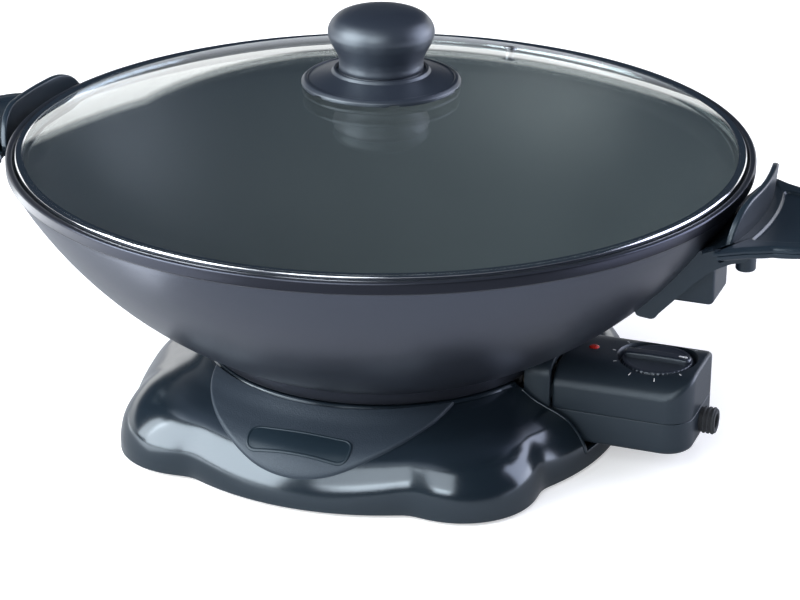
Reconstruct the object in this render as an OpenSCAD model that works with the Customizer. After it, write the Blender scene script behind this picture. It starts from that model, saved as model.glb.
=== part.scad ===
// Electric wok: lobed stand, lift-off cast bowl with two grips, domed glass lid
// and a plug-in temperature control with a dial.
// Frame: +Z up, origin on the table under the bowl's axis, front of the stand at -Y,
// temperature control on the +X side. Millimetres.

/* [Bowl] */
// Outer radius of the bowl at its rim
rim_r = 188; // [150:1:230]
// Height of the rim's top face above the table
rim_z = 148; // [130:1:190]
// Thickness of the cast wall
bowl_wall = 3; // [2:0.5:5]
// Radius of the arc that the outside of the wall follows
bowl_arc_r = 219; // [190:1:300]
// Height of the straight band round the rim
rim_band_h = 6; // [4:0.5:10]
// Radius of the foot band under the wall
foot_r = 90; // [80:1:105]
// Radius of the flat cooking floor
floor_r = 62; // [50:1:72]
// Width of the rim's flat top outside the lid's rebate
rim_top_w = 3.4; // [2.5:0.1:6]
// Depth of the rebate that the lid sits in
lid_rebate_h = 5.5; // [4.5:0.1:8]

/* [Stand] */
// Width of the stand's skirt beyond the bowl's foot band, between the lobes
skirt_w = 37; // [28:1:60]
// Height of the lip that the bowl's foot drops into
lip_z = 42.6; // [36:0.1:52]
// How far each lobe's own centre lies inside the skirt's edge
lobe_in = 22; // [12:1:30]
// Radius of each lobe
lobe_r = 38; // [32:0.5:46]
// Turn of each lobe from the front or the rear
lobe_turn = 43; // [38:1:50]
// Thickness of the stand's moulded wall
shell_wall = 3; // [2:0.5:4]
// Height of the open bottom edge above the table
shell_z = 2; // [1.5:0.1:5]
// Thickness of the closing plate under the stand
plate_t = 2; // [1.5:0.1:3]
// Radius of each rubber foot
foot_pad_r = 9; // [6:0.5:14]
// Radius of the round grained panel on the front
panel_r = 64; // [50:1:70]
// Plain strip of skirt below the panel
panel_edge = 3.5; // [2:0.5:12]
// Height of the panel above the stand's surface
panel_h = 2; // [1:0.1:3]
// Width of the blank plate on the panel
badge_w = 55; // [30:1:80]
// Height of the blank plate, measured up the slope
badge_l = 15; // [10:0.5:18]

/* [Grips] */
// Reach of a grip beyond the rim
grip_reach = 56; // [44:1:80]
// Height of a grip's top face below the rim
grip_drop = 12; // [9:0.5:18]
// Height of the curved guard above the rim
guard_rise = 5; // [0:0.5:15]
// Clear gap between the rim and the guard
guard_gap = 6.2; // [5:0.1:12]
// How far the guard leans out over its height
guard_lean = 2; // [0:0.1:5]
// Thickness of the guard
guard_t = 3.3; // [2:0.1:5]
// Half width of the guard
guard_w = 46; // [35:0.5:52]
// Thickness of the saddle that lies against the wall
saddle_t = 9; // [6:0.5:12]
// Half width of the saddle
saddle_w = 31; // [24:0.5:36]
// Height of the saddle's lower end below the rim
saddle_drop = 59; // [50:1:66]

/* [Lid] */
// Rise of the glass from its edge to its crown
lid_rise = 31.3; // [20:0.1:50]
// Thickness of the glass
glass_t = 3.5; // [3:0.1:4]
// Height of the steel band's top above the bowl's rim
band_rise = 1.2; // [0.2:0.1:3]
// Radial width of the steel band's top face
band_w = 4.2; // [3.5:0.1:6]
// Largest radius of the knob
knob_r = 26.6; // [22:0.1:32]
// Height of the knob above its skirt
knob_h = 30.5; // [24:0.5:40]
// Radius of the knob's skirt
knob_skirt_r = 39.9; // [34:0.1:46]

/* [Temperature control] */
// Length of the control's housing outside its shroud
control_l = 69.9; // [66:0.1:90]
// Half width of the control's housing
control_w = 29; // [27:0.5:34]
// Gap between the housing's crown and the bowl's wall above it
control_gap = 2.3; // [1.5:0.1:4]
// Radius of the dial
dial_r = 18.5; // [14:0.5:20]
// Radius of the temperature probe
probe_r = 3; // [2:0.1:4]
// Radius of the mains pins
pin_r = 2.25; // [1.8:0.05:2.6]
// Bore radius of the bush where a lead would enter
gland_bore_r = 3.8; // [2.5:0.1:4.5]

/* [Hidden] */
$fn = 96;
e = 0.01;
// Clearances
slip = 0.3;      // between parts that lift apart
seat_gap = 0.1;  // under parts that rest on one another
run = 0.06;      // radial, on sliding and turning fits
touch = 0.05;    // between fixed parts

// ---- Bowl values ----
wall_top = [rim_r - 1, rim_z - rim_band_h];
foot_band_h = 5.6;
foot_z0 = lip_z + 0.8;                       // underside of the foot band
wall_foot = [foot_r, foot_z0 + foot_band_h];
chord = wall_top - wall_foot;
half_chord = norm(chord) / 2;
to_centre = sqrt(bowl_arc_r * bowl_arc_r - half_chord * half_chord);
arc_c = (wall_top + wall_foot) / 2
    + to_centre * [-chord[1], chord[0]] / norm(chord);
function wall_out_z(r, off = 0) =
    arc_c[1] - sqrt(pow(bowl_arc_r + off, 2) - pow(r - arc_c[0], 2));
function wall_out_r(z, off = 0) =
    arc_c[0] + sqrt(pow(bowl_arc_r + off, 2) - pow(z - arc_c[1], 2));
function arc_pts(r0, r1, off, n) =
    [for (i = [0:n]) let (r = r0 + (r1 - r0) * i / n) [r, wall_out_z(r, off)]];
// the same arc, held above a level where the flat floor takes over
function arc_down(r0, r1, off, n, low) =
    [for (p = arc_pts(r0, r1, off, n)) [p[0], max(low, p[1])]];
bowl_bottom = foot_z0 - 4.4;                 // underside of the flat floor
bowl_floor = bowl_bottom + bowl_wall;
pin_z = bowl_bottom - 4.1;
probe_z = pin_z - 9;
ring_out = foot_r - 4.5;                     // foot ring that drops inside the lip
ring_in = ring_out - 5.5;
ring_z = bowl_bottom - 3;
rebate_r = rim_r - rim_top_w;
ledge_z = rim_z - lid_rebate_h;
ledge_r = rebate_r - 5.2;
ledge_foot = ledge_r - 3;
ear_x = ring_in - 6.5;                       // bosses that carry the shroud
ear_y = 24;

// ---- Stand values ----
skirt_r = foot_r + skirt_w;                  // skirt between the lobes, at the bottom edge
lobe_d = skirt_r - lobe_in;
panel_d = skirt_r - panel_edge - panel_r;    // panel's centre in front of the axis
lip_r = ring_out + 2;                        // inside of the lip
ledge_t = 3;
ledge_top = ring_z - seat_gap - 0.9;         // the seat pads are 0.9 thick
ledge_in = ring_in - 6;
shield_z = ledge_top - ledge_t - 12;
notch_w = control_w + 3.5;                   // half width of the notch for the control
notch_z = probe_z - 15.9;
notch_x = ledge_in - 7;

// ---- Control values ----
shroud_w = notch_w - 1.5;
shroud_t = 3;
shroud_x0 = foot_r - 2;
shroud_x1 = foot_r + 11.5;
shroud_z0 = notch_z + 1.5;
shroud_z1 = wall_out_z(shroud_x1) - 1;
pin_y = 12;
tube_r = 3.9;
clamp_top = pin_z - tube_r - touch;          // the clamp bears on the element from below
element_r = floor_r - 6;
clamp_screw_r = element_r - 16;
probe_tip = floor_r - 24;
pin_x0 = foot_r;
pin_x1 = pin_x0 + 19;
ctl_x0 = shroud_x1 + 0.6;
nose_x0 = shroud_x0 + 8;
split_z = pin_z - 4.9;
ctl_z0 = notch_z + 3;
gland_z = ctl_z0 + 9.5;
control_end = ctl_x0 + control_l;
dial_x = control_end - 23.9;
control_z = wall_out_z(ctl_x0) - control_gap;
dial_z = control_z - 4.5;
lens_x = ctl_x0 + 13;
lens_r = 2.6;
ctl_wall = 2.2;
carrier_x0 = nose_x0 + 4;
carrier_x1 = carrier_x0 + 16;

// ---- Lid values ----
band_r = rebate_r - 1.3;
band_z0 = ledge_z + seat_gap;
band_z1 = rim_z + band_rise;
band_in = band_r - band_w;
glass_r = band_r - 1.3;
glass_edge = band_z1 - 0.9 - touch;          // top of the glass at its edge
glass_R = (glass_r * glass_r + lid_rise * lid_rise) / (2 * lid_rise);
glass_c = glass_edge + lid_rise - glass_R;
crown_z = glass_edge + lid_rise;
function glass_z(r) = glass_c + sqrt(glass_R * glass_R - r * r);
knob_hole_r = 5;
gasket_t = 1;
skirt_z0 = glass_z(knob_skirt_r) + 0.9;
knob_z0 = crown_z + gasket_t + 6.5;
vent_r = 124.5;
vent_turn = 167;
vent_tilt = asin(vent_r / glass_R);

// ---- Grip values ----
grip_tip = rim_r + grip_reach;
grip_z = rim_z - grip_drop;
grip_t = 3;
guard_in = rim_r + guard_gap;
guard_out = guard_in + guard_t;
grip_end_r = 49;
boss_x = guard_in - 4.2;
block_x = wall_out_r(rim_z - saddle_drop + 1) + saddle_t + 21;
block_w = 11.5;
block_z0 = rim_z - saddle_drop + 1;
block_z1 = rim_z - 38;
stud_z = rim_z - 47;
grip_screw_x = guard_out + 16;
grip_screw_y = 24;

cast_grey = [0.22, 0.22, 0.25];
gloss_black = [0.06, 0.07, 0.10];
matt_black = [0.12, 0.12, 0.13];
steel_c = [0.75, 0.76, 0.78];

// ======== Stand ========
lobe_dirs = [270 - lobe_turn, 270 + lobe_turn, 90 - lobe_turn, 90 + lobe_turn];
function lobe_off(a) = min([for (d = lobe_dirs) let (x = abs((a - d + 540) % 360 - 180)) x]);
// radius of a lobe's own circle seen from the stand's axis, nothing where a ray misses it
function lobe_ray(x) = let (q = pow(lobe_r, 2) - pow(lobe_d * sin(x), 2))
    (x < 80 && q > 0) ? lobe_d * cos(x) + sqrt(q) : 0;
blend = 2.5;
function edge_r(a) = skirt_r + blend * ln(1 + exp((lobe_ray(lobe_off(a)) - skirt_r) / blend));
lobe_out = edge_r(lobe_dirs[0]) - skirt_r;
function low_w(a) = (edge_r(a) - skirt_r) / lobe_out;
function high_w(a) = let (x = min(1, lobe_off(a) / 36)) (1 + cos(180 * x)) / 2;
// section between the lobes: share of the way from lip to skirt, share of the height
stand_prof = [[0, 1], [0.1, 0.915], [0.23, 0.815], [0.4, 0.735], [0.565, 0.67],
    [0.71, 0.59], [0.84, 0.46], [0.94, 0.29], [0.99, 0.12], [1, 0]];
// what a lobe adds: share of its reach, and height as a share
lobe_prof = [[0, 0], [0.12, 0.05], [0.3, 0.09], [0.43, 0.125], [0.56, 0.135],
    [0.71, 0.13], [0.85, 0.125], [0.96, 0.11], [1, 0.06], [1, 0]];
stand_r0 = lip_r + 3;
stand_h = lip_z - 1 - shell_z;
function stand_w(a, i) = let (k = pow(i / 9, 2)) high_w(a) * (1 - k) + low_w(a) * k;
function stand_pt(a, i) = let (
    p = stand_prof[i], q = lobe_prof[i], w = stand_w(a, i),
    r = stand_r0 + p[0] * (skirt_r - stand_r0) + w * q[0] * lobe_out,
    z = shell_z + stand_h * (p[1] + w * q[1])) [r * cos(a), r * sin(a), z];
// the same surface moved in by the wall, for the hollow inside
function in_pt(a, i) = let (
    p = stand_pt(a, i), k = i / 9, m = norm([p[0], p[1]]),
    s = (m - shell_wall * (0.25 + 0.75 * pow(k, 1.5))) / m)
    [p[0] * s, p[1] * s, max(shell_z, p[2] - shell_wall * (1 - 0.45 * k))];
stand_n = 80;
function loop_faces(n, m) = [for (i = [0:n - 1]) for (j = [0:m - 1])
    let (a = i * m + j, b = i * m + (j + 1) % m,
        c = ((i + 1) % n) * m + (j + 1) % m, d = ((i + 1) % n) * m + j)
    each [[a, c, b], [a, d, c]]];
module stand_wall() {
    // closed loop of outer and inner points at each angle, carried round the axis
    pts = [for (i = [0:stand_n - 1]) let (a = 360 * i / stand_n)
        each concat([for (j = [0:9]) stand_pt(a, j)], [for (j = [8:-1:0]) in_pt(a, j)])];
    polyhedron(pts, loop_faces(stand_n, 19), convexity = 8);
}
module stand_solid(up) {
    // the outer surface as a closed solid, lifted by up
    n = stand_n;
    pts = concat(
        [for (i = [0:n - 1]) for (j = [0:9]) stand_pt(360 * i / n, j) + [0, 0, up]],
        [[0, 0, lip_z - 1 + up], [0, 0, shell_z + up]]);
    polyhedron(pts, concat(
        [for (i = [0:n - 1]) for (j = [0:8])
            let (a = i * 10 + j, b = i * 10 + j + 1,
                c = ((i + 1) % n) * 10 + j + 1, d = ((i + 1) % n) * 10 + j)
            each [[a, c, b], [a, d, c]]],
        [for (i = [0:n - 1]) [10 * n, ((i + 1) % n) * 10, i * 10]],
        [for (i = [0:n - 1]) [10 * n + 1, i * 10 + 9, ((i + 1) % n) * 10 + 9]]
    ), convexity = 4);
}
// height of the stand's outer surface above a point
function surf_z(a, r) = let (
    c = [for (i = [0:8]) let (p = stand_pt(a, i), q = stand_pt(a, i + 1),
        m = norm([p[0], p[1]]), n = norm([q[0], q[1]]))
        if (r >= m && r <= n) p[2] + (q[2] - p[2]) * (r - m) / max(n - m, 0.001)])
    len(c) > 0 ? c[0] : lip_z - 1;
module at_lobes() {
    for (a = lobe_dirs) rotate([0, 0, a]) translate([lobe_d, 0, 0]) children();
}
module notch(extra = 0) {
    translate([notch_x - extra, -notch_w - extra, notch_z - extra])
        cube([200, 2 * (notch_w + extra), 60]);
}
boss_turns = [15, 165, 195, 345];
boss_d = skirt_r - 16;
module plate_boss_places() {
    for (a = boss_turns) rotate([0, 0, 90 + a]) translate([boss_d, 0, 0]) children();
}
module shield_screw_places() {
    for (a = [60, 180, 300])
        rotate([0, 0, a]) translate([lip_r + 6, 0, 0]) children();
}
module base_shell() color(gloss_black) difference() {
    union() {
        stand_wall();
        // lip, inner wall and the ledge under the bowl's foot
        rotate_extrude() polygon([
            [lip_r, shield_z + 1.8], [lip_r, ledge_top - ledge_t], [ledge_in, ledge_top - ledge_t],
            [ledge_in, ledge_top], [lip_r, ledge_top], [lip_r, lip_z - 0.7], [lip_r + 0.7, lip_z],
            [lip_r + 2.2, lip_z], [lip_r + 3.2, lip_z - 1.2], [lip_r + 3.2, shield_z + 1.8]
        ]);
        shield_screw_places()
            translate([0, 0, shield_z + 1.2]) cylinder(r = 3.6, h = 12);
        for (a = boss_turns) rotate([0, 0, 90 + a])
            translate([boss_d, 0, shell_z + plate_t])
                cylinder(r = 4, h = surf_z(90 + a, boss_d + 4) - 1.4 - shell_z - plate_t);
    }
    notch();
    plate_boss_places() cylinder(r = 1.5, h = 16);
    shield_screw_places() translate([0, 0, shield_z - 1]) cylinder(r = 1.25, h = 11);
}
module panel_zone(r) {
    translate([0, -panel_d, 0]) cylinder(r = r, h = 80);
}
module front_panel() color(matt_black) difference() {
    intersection() {
        stand_solid(panel_h);
        panel_zone(panel_r);
    }
    stand_solid(touch);
    cylinder(r = lip_r + 4.4, h = 100);
}
module badge_prism(w, l) {
    // along the normal of the panel's slope
    translate([0, -(skirt_r - 15.5), surf_z(270, skirt_r - 15.5) + panel_h]) rotate([35, 0, 0])
        linear_extrude(16, center = true) {
            square([w - l, l], center = true);
            for (s = [-1, 1]) translate([s * (w - l) / 2, 0]) circle(l / 2);
        }
}
module badge_plate() color([0.03, 0.03, 0.04]) difference() {
    intersection() {
        stand_solid(panel_h + 0.8);
        badge_prism(badge_w, badge_l);
    }
    stand_solid(panel_h + touch);
}
module plate_outline(inset) {
    circle(skirt_r - inset);
    for (a = lobe_dirs)
        rotate(a) translate([lobe_d, 0]) circle(lobe_r - inset);
}
module bottom_plate() color([0.3, 0.3, 0.31]) difference() {
    union() {
        translate([0, 0, shell_z]) linear_extrude(plate_t) plate_outline(shell_wall + 0.4);
        // sockets for the feet
        at_lobes() translate([0, 0, shell_z + plate_t - e]) cylinder(r = 7, h = 3);
    }
    at_lobes() translate([0, 0, -1]) cylinder(r = 4 + touch, h = 20);
    plate_boss_places() cylinder(r = 1.8, h = 20, center = true);
    // vents
    for (a = [0:30:330]) rotate([0, 0, a])
        translate([52, -2.5, -1]) cube([22, 5, 10]);
    cylinder(r = 16, h = 20, center = true);
}
module foot_at(i) color([0.1, 0.1, 0.1])
    rotate([0, 0, lobe_dirs[i]]) translate([lobe_d, 0, 0]) rotate_extrude() polygon([
        [0, 0], [foot_pad_r - 0.8, 0], [foot_pad_r, 0.8], [foot_pad_r, shell_z],
        [4, shell_z], [4, shell_z + plate_t + 3], [4.9, shell_z + plate_t + 3.1],
        [3.6, shell_z + plate_t + 5.5], [0, shell_z + plate_t + 5.5]
    ]);
module foot_front_left() foot_at(0);
module foot_front_right() foot_at(1);
module foot_rear_left() foot_at(3);
module foot_rear_right() foot_at(2);
module heat_shield() color(steel_c) difference() {
    rotate_extrude() polygon([
        [12, shield_z - 4], [ledge_in - 16, shield_z - 4], [ledge_in - 10, shield_z],
        [lip_r + 11, shield_z], [lip_r + 11, shield_z + 1.2 - touch],
        [ledge_in - 10.5, shield_z + 1.2 - touch],
        [ledge_in - 16.5, shield_z - 2.8], [12, shield_z - 2.8]
    ]);
    shield_screw_places() cylinder(r = 1.7, h = 60);
    translate([notch_x, -notch_w - 2, 0]) cube([80, 2 * notch_w + 4, 60]);
    translate([notch_x - 12, -8, 0]) cube([14, 16, 60]);
    for (a = [45:90:315]) rotate([0, 0, a]) translate([32, 0, 0]) cylinder(r = 6, h = 60);
}
module pan_screw(shank_r, shank_l, head_r, head_h) {
    // head below, shank upward, the seat of the head at z = 0
    cylinder(r = shank_r, h = shank_l);
    translate([0, 0, -head_h]) difference() {
        cylinder(r = head_r, h = head_h);
        translate([0, 0, -e]) cylinder(r = head_r * 0.45, h = head_h * 0.5, $fn = 6);
    }
}
module shield_screws() color(steel_c)
    shield_screw_places() translate([0, 0, shield_z - touch])
        pan_screw(1.2, 9.5, 3, 1.8);
module plate_screws() color(steel_c)
    plate_boss_places() translate([0, 0, shell_z - touch]) pan_screw(1.45, 13, 2.8, 1.5);
module seat_pads() color([0.45, 0.12, 0.1])
    for (a = [45:45:315]) rotate([0, 0, a])
        translate([(ring_in + ring_out) / 2, 0, ledge_top]) cylinder(r = 3.2, h = 0.9);

// ======== Bowl ========
module bowl_outer(off) {
    // solid of revolution of the outside of wall, rim band and foot band
    rotate_extrude() polygon(concat(
        [[0, foot_z0 - off], [foot_r + off, foot_z0 - off]],
        arc_pts(foot_r + off, rim_r - 1, off, 20),
        [[rim_r + off, rim_z - rim_band_h + 1 - off], [rim_r + off, rim_z + off], [0, rim_z + off]]
    ));
}
module wok_bowl() color(cast_grey) difference() {
    union() {
        rotate_extrude() polygon(concat(
            [[0, bowl_bottom], [floor_r + 4, bowl_bottom]],
            arc_down(floor_r + 6, ring_in, 0, 4, bowl_bottom),
            [[ring_in, ring_z], [ring_out, ring_z], [ring_out, foot_z0], [foot_r, foot_z0]],
            arc_pts(foot_r, rim_r - 1, 0, 22),
            [[rim_r, rim_z - rim_band_h + 1], [rim_r, rim_z - 1], [rim_r - 1, rim_z],
             [rebate_r, rim_z], [rebate_r, ledge_z], [ledge_r, ledge_z]],
            arc_down(ledge_foot, floor_r + 2, -bowl_wall, 22, bowl_floor),
            [[floor_r, bowl_floor], [0, bowl_floor]]
        ));
        // bosses for the shroud and for the element's clamp
        for (s = [-1, 1]) translate([ear_x, s * ear_y, ring_z - 1]) cylinder(r = 4.5, h = 5.5);
        for (a = [90, 210, 330]) rotate([0, 0, a])
            translate([clamp_screw_r, 0, clamp_top + touch]) cylinder(r = 4, h = bowl_bottom - clamp_top + 1);
        // studs that carry the grips, ended in the middle of the wall
        for (s = [0, 180]) rotate([0, 0, s]) difference() {
            translate([wall_out_r(stud_z) - 8, 0, stud_z]) rotate([0, 90, 0]) cylinder(r = 5.5, h = 14);
            rotate_extrude() polygon(concat([[0, stud_z - 30]], arc_pts(wall_out_r(stud_z) - 30,
                wall_out_r(stud_z) + 16, -bowl_wall / 2, 22), [[0, stud_z + 14]]));
        }
    }
    // gap in the foot ring for the pins
    translate([floor_r + 8, -19, ring_z - 5]) cube([foot_r - floor_r - 8 - 4.4, 38, foot_z0 - ring_z + 5 - 1]);
    for (s = [-1, 1]) translate([ear_x, s * ear_y, ring_z - 5]) cylinder(r = 1.5, h = 9);
    for (a = [90, 210, 330]) rotate([0, 0, a])
        translate([clamp_screw_r, 0, clamp_top - 1]) cylinder(r = 1.5, h = 8);
    for (s = [0, 180]) rotate([0, 0, s])
        translate([wall_out_r(stud_z) - 0.5, 0, stud_z]) rotate([0, 90, 0]) cylinder(r = 2.1, h = 9);
}
element_half = asin(pin_y / element_r);
module heating_element() color([0.35, 0.35, 0.36]) {
    rotate([0, 0, element_half]) rotate_extrude(angle = 360 - 2 * element_half)
        translate([element_r, pin_z]) circle(tube_r);
    for (s = [-1, 1]) translate([element_r * cos(element_half) - 2, s * pin_y, pin_z])
        rotate([0, 90, 0]) cylinder(r = tube_r, h = pin_x0 - element_r * cos(element_half) + 2);
}
module element_clamp() color(steel_c) difference() {
    translate([0, 0, clamp_top - 1.5]) linear_extrude(1.5) {
        circle(element_r - 10);
        for (a = [30:60:330]) rotate(a)
            translate([element_r / 2, 0]) square([element_r + 4, 14], center = true);
    }
    translate([0, 0, -1]) cylinder(r = element_r - 22, h = 60);
    for (a = [90, 210, 330]) rotate([0, 0, a])
        translate([clamp_screw_r, 0, 0]) cylinder(r = 1.8, h = 60);
    // gap for the probe's tube
    translate([20, -6, 0]) cube([80, 12, 60]);
}
module clamp_screws() color(steel_c)
    for (a = [90, 210, 330]) rotate([0, 0, a])
        translate([clamp_screw_r, 0, clamp_top - touch - 1.5]) pan_screw(1.45, 8, 3, 1.8);
module terminal_pins() color([0.8, 0.75, 0.6])
    for (s = [-1, 1]) translate([pin_x0, s * pin_y, pin_z]) rotate([0, 90, 0]) {
        cylinder(r = pin_r, h = pin_x1 - pin_x0 - 1);
        translate([0, 0, pin_x1 - pin_x0 - 1]) cylinder(r1 = pin_r, r2 = pin_r - 1, h = 1);
    }
module pin_insulators() color([0.9, 0.88, 0.82])
    for (s = [-1, 1]) translate([shroud_x0 - 4, s * pin_y, pin_z]) rotate([0, 90, 0])
        difference() {
            union() {
                cylinder(r = 6.2, h = 4 - touch);
                cylinder(r = 5.2, h = 9);
            }
            translate([0, 0, -1]) cylinder(r = tube_r + touch, h = 20);
        }
module shroud_section(w, z0, z1, r) {
    // upright section, rounded at its upper corners
    translate([0, z0]) {
        translate([-w, 0]) square([2 * w, z1 - z0 - r]);
        translate([-w + r, 0]) square([2 * (w - r), z1 - z0]);
        for (s = [-1, 1]) translate([s * (w - r), z1 - z0 - r]) circle(r);
    }
}
module along_x(x0, x1) {
    translate([x0, 0, 0]) rotate([90, 0, 90]) linear_extrude(x1 - x0) children();
}
module connector_shroud() color(matt_black) difference() {
    union() {
        difference() {
            along_x(shroud_x0, shroud_x1) shroud_section(shroud_w, shroud_z0, shroud_z1, 8);
            along_x(shroud_x0 + shroud_t, shroud_x1 + 1)
                shroud_section(shroud_w - shroud_t, shroud_z0 + shroud_t, shroud_z1 - shroud_t, 5.5);
        }
        // ears that reach in under the bosses
        for (s = [-1, 1]) translate([ear_x - 4.5, s * ear_y - 5, ring_z - 4])
            cube([shroud_x0 - ear_x + 5.5, 10, 3 - touch]);
    }
    bowl_outer(touch);
    for (s = [-1, 1]) {
        translate([shroud_x0 - 5, s * pin_y, pin_z]) rotate([0, 90, 0]) cylinder(r = 5.2 + touch, h = 12);
        translate([ear_x, s * ear_y, 0]) cylinder(r = 1.8, h = 60);
    }
    translate([shroud_x0 - 5, 0, probe_z]) rotate([0, 90, 0]) cylinder(r = probe_r + 1.6 + touch, h = 12);
}
module shroud_screws() color(steel_c)
    for (s = [-1, 1]) translate([ear_x, s * ear_y, ring_z - 4 - touch]) pan_screw(1.45, 7.5, 3, 1.8);
module earth_spring() color([0.8, 0.75, 0.6]) difference() {
    translate([shroud_x0 + shroud_t + touch, -5, shroud_z0 + shroud_t + touch]) cube([9, 10, 0.45]);
    translate([shroud_x0 + shroud_t + 4, -1, shroud_z0]) cube([14, 2, 5]);
}
module probe_guide() color(steel_c) {
    translate([probe_tip - 4, 0, probe_z]) rotate([0, 90, 0]) difference() {
        cylinder(r = probe_r + 1.6, h = shroud_x0 + 6 - probe_tip);
        translate([0, 0, -1]) cylinder(r = probe_r + run, h = 100);
    }
    // foot that ties the tube to the underside of the floor
    translate([probe_tip - 2, -4, probe_z + probe_r + 1])
        cube([12, 8, bowl_bottom - probe_z - probe_r - 1 - touch]);
}

// ======== Grips ========
module grip_plan() intersection() {
    translate([grip_tip - grip_end_r, 0]) circle(grip_end_r);
    polygon([[guard_in - 26, -guard_w - 1], [guard_in + 1, -guard_w + 1],
        [guard_in + 18, -guard_w + 5], [grip_tip + 6, -guard_w + 7.5],
        [grip_tip + 6, guard_w - 7.5], [guard_in + 18, guard_w - 5],
        [guard_in + 1, guard_w - 1], [guard_in - 26, guard_w + 1]]);
}
module dish_plan() intersection() {
    translate([grip_tip - grip_end_r, 0]) circle(grip_end_r - 7);
    difference() {
        polygon([[guard_out, -guard_w + 9], [guard_in + 18, -guard_w + 12.5],
            [grip_tip, -guard_w + 14.5], [grip_tip, guard_w - 14.5],
            [guard_in + 18, guard_w - 12.5], [guard_out, guard_w - 9]]);
        circle(guard_out + 5);
    }
}
// band that follows the outside of the wall, between two offsets
module wall_band(o1, o2, z0, z1) {
    n = 10;
    rotate_extrude() polygon(concat(
        [for (i = [0:n]) let (z = z0 + (z1 - z0) * i / n) [wall_out_r(z) + o1, z]],
        [for (i = [n:-1:0]) let (z = z0 + (z1 - z0) * i / n) [wall_out_r(z) + o2, z]]
    ));
}
module slab(w, z0, z1) translate([0, -w, z0]) cube([400, 2 * w, z1 - z0]);
ramp_in_z = grip_z - 11;
module handle_upper() difference() {
    union() {
        intersection() {
            translate([0, 0, grip_z - grip_t + touch]) linear_extrude(grip_t - touch) grip_plan();
            difference() {
                translate([0, -100, 0]) cube([400, 200, 400]);
                cylinder(r = guard_in, h = 400);
            }
        }
        // guard, a leaning ring sector with rounded upper corners
        intersection() {
            rotate_extrude() polygon([
                [guard_in, grip_z - grip_t + touch], [guard_out, grip_z - grip_t + touch],
                [guard_out + guard_lean, rim_z + guard_rise],
                [guard_in + guard_lean, rim_z + guard_rise]]);
            along_x(100, 260) shroud_section(guard_w, 0, rim_z + guard_rise, 13);
        }
        // ramp that falls from the guard to the wall
        intersection() {
            rotate_extrude() polygon([
                [guard_in + 1, grip_z], [guard_in + 1, grip_z - grip_t + touch],
                [guard_in, grip_z - grip_t + touch],
                [wall_out_r(ramp_in_z - grip_t) + 0.3, ramp_in_z - grip_t + touch],
                [wall_out_r(ramp_in_z + 0.4) + 0.3, ramp_in_z + 0.4], [guard_in - 5, grip_z - 2.4]]);
            linear_extrude(400) polygon([[100, -saddle_w + 2], [wall_out_r(ramp_in_z) + 2, -saddle_w + 1],
                [guard_in + 2, -guard_w], [guard_in + 2, guard_w],
                [wall_out_r(ramp_in_z) + 2, saddle_w - 1], [100, saddle_w - 2]]);
        }
        // lug under the rim band
        intersection() {
            wall_band(0.2, 5, ramp_in_z + 1.5, rim_z - rim_band_h - 1.5);
            slab(15, 0, 400);
        }
    }
    translate([0, 0, grip_z - 1.4]) linear_extrude(5) dish_plan();
    for (s = [-1, 1]) translate([grip_screw_x, s * grip_screw_y, grip_z - grip_t - 1])
        cylinder(r = 1.25, h = 3);
}
module handle_lower() difference() {
    union() {
        // shell under the grip
        translate([0, 0, grip_z - 2 * grip_t]) linear_extrude(grip_t) difference() {
            grip_plan();
            circle(guard_in);
        }
        // keel of the grip's underside
        intersection() {
            translate([guard_in + 10, 0, grip_z - 2 * grip_t])
                rotate_extrude() polygon([[0, 0.5], [0, -7], [12, -6.4], [22, -3.8], [27, 0.5]]);
            translate([guard_in - 2, -60, 0]) cube([80, 120, 300]);
        }
        // web under the ramp
        intersection() {
            rotate_extrude() polygon([
                [guard_in + 2, grip_z - grip_t], [guard_in + 2, grip_z - 2 * grip_t - 4.5],
                [wall_out_r(ramp_in_z - 16) + 0.2, ramp_in_z - 16],
                [wall_out_r(ramp_in_z - 10) + 0.2, ramp_in_z - 10],
                [wall_out_r(ramp_in_z - grip_t) + 0.3, ramp_in_z - grip_t],
                [guard_in, grip_z - grip_t]]);
            slab(saddle_w, 0, 400);
        }
        // saddle along the wall
        intersection() {
            wall_band(0.2, saddle_t, rim_z - saddle_drop, ramp_in_z - grip_t - 2);
            slab(saddle_w, 0, 400);
        }
        // block round the stud
        intersection() {
            translate([wall_out_r(block_z0), -block_w, block_z0])
                cube([block_x - wall_out_r(block_z0), 2 * block_w, block_z1 - block_z0]);
            difference() {
                cylinder(r = 300, h = 300);
                bowl_outer(0.2);
            }
        }
        // screw boss
        translate([boss_x, 0, block_z1 - 4]) cylinder(r = 5, h = grip_z - 2 * grip_t - block_z1);
    }
    // pocket for the stud, with a through hole and a counterbore
    translate([wall_out_r(stud_z) - 8, 0, stud_z]) rotate([0, 90, 0]) cylinder(r = 5.5 + touch, h = 14 + touch);
    translate([wall_out_r(stud_z), 0, stud_z]) rotate([0, 90, 0]) cylinder(r = 2.4, h = 60);
    translate([block_x - 6, 0, stud_z]) rotate([0, 90, 0]) cylinder(r = 5, h = 40);
    for (s = [-1, 1]) translate([grip_screw_x, s * grip_screw_y, 0]) {
        cylinder(r = 1.6, h = 300);
        cylinder(r = 3.2, h = grip_z - 2 * grip_t);
    }
}
module handle_upper_right() color(matt_black) handle_upper();
module handle_upper_left() color(matt_black) rotate([0, 0, 180]) handle_upper();
module handle_lower_right() color(matt_black) handle_lower();
module handle_lower_left() color(matt_black) rotate([0, 0, 180]) handle_lower();
module handle_screws() color(steel_c)
    for (a = [0, 180]) rotate([0, 0, a]) translate([block_x - 6 + touch, 0, stud_z])
        rotate([0, -90, 0]) pan_screw(2.0, block_x - 6 - wall_out_r(stud_z) - 1, 4.6, 3);
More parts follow.
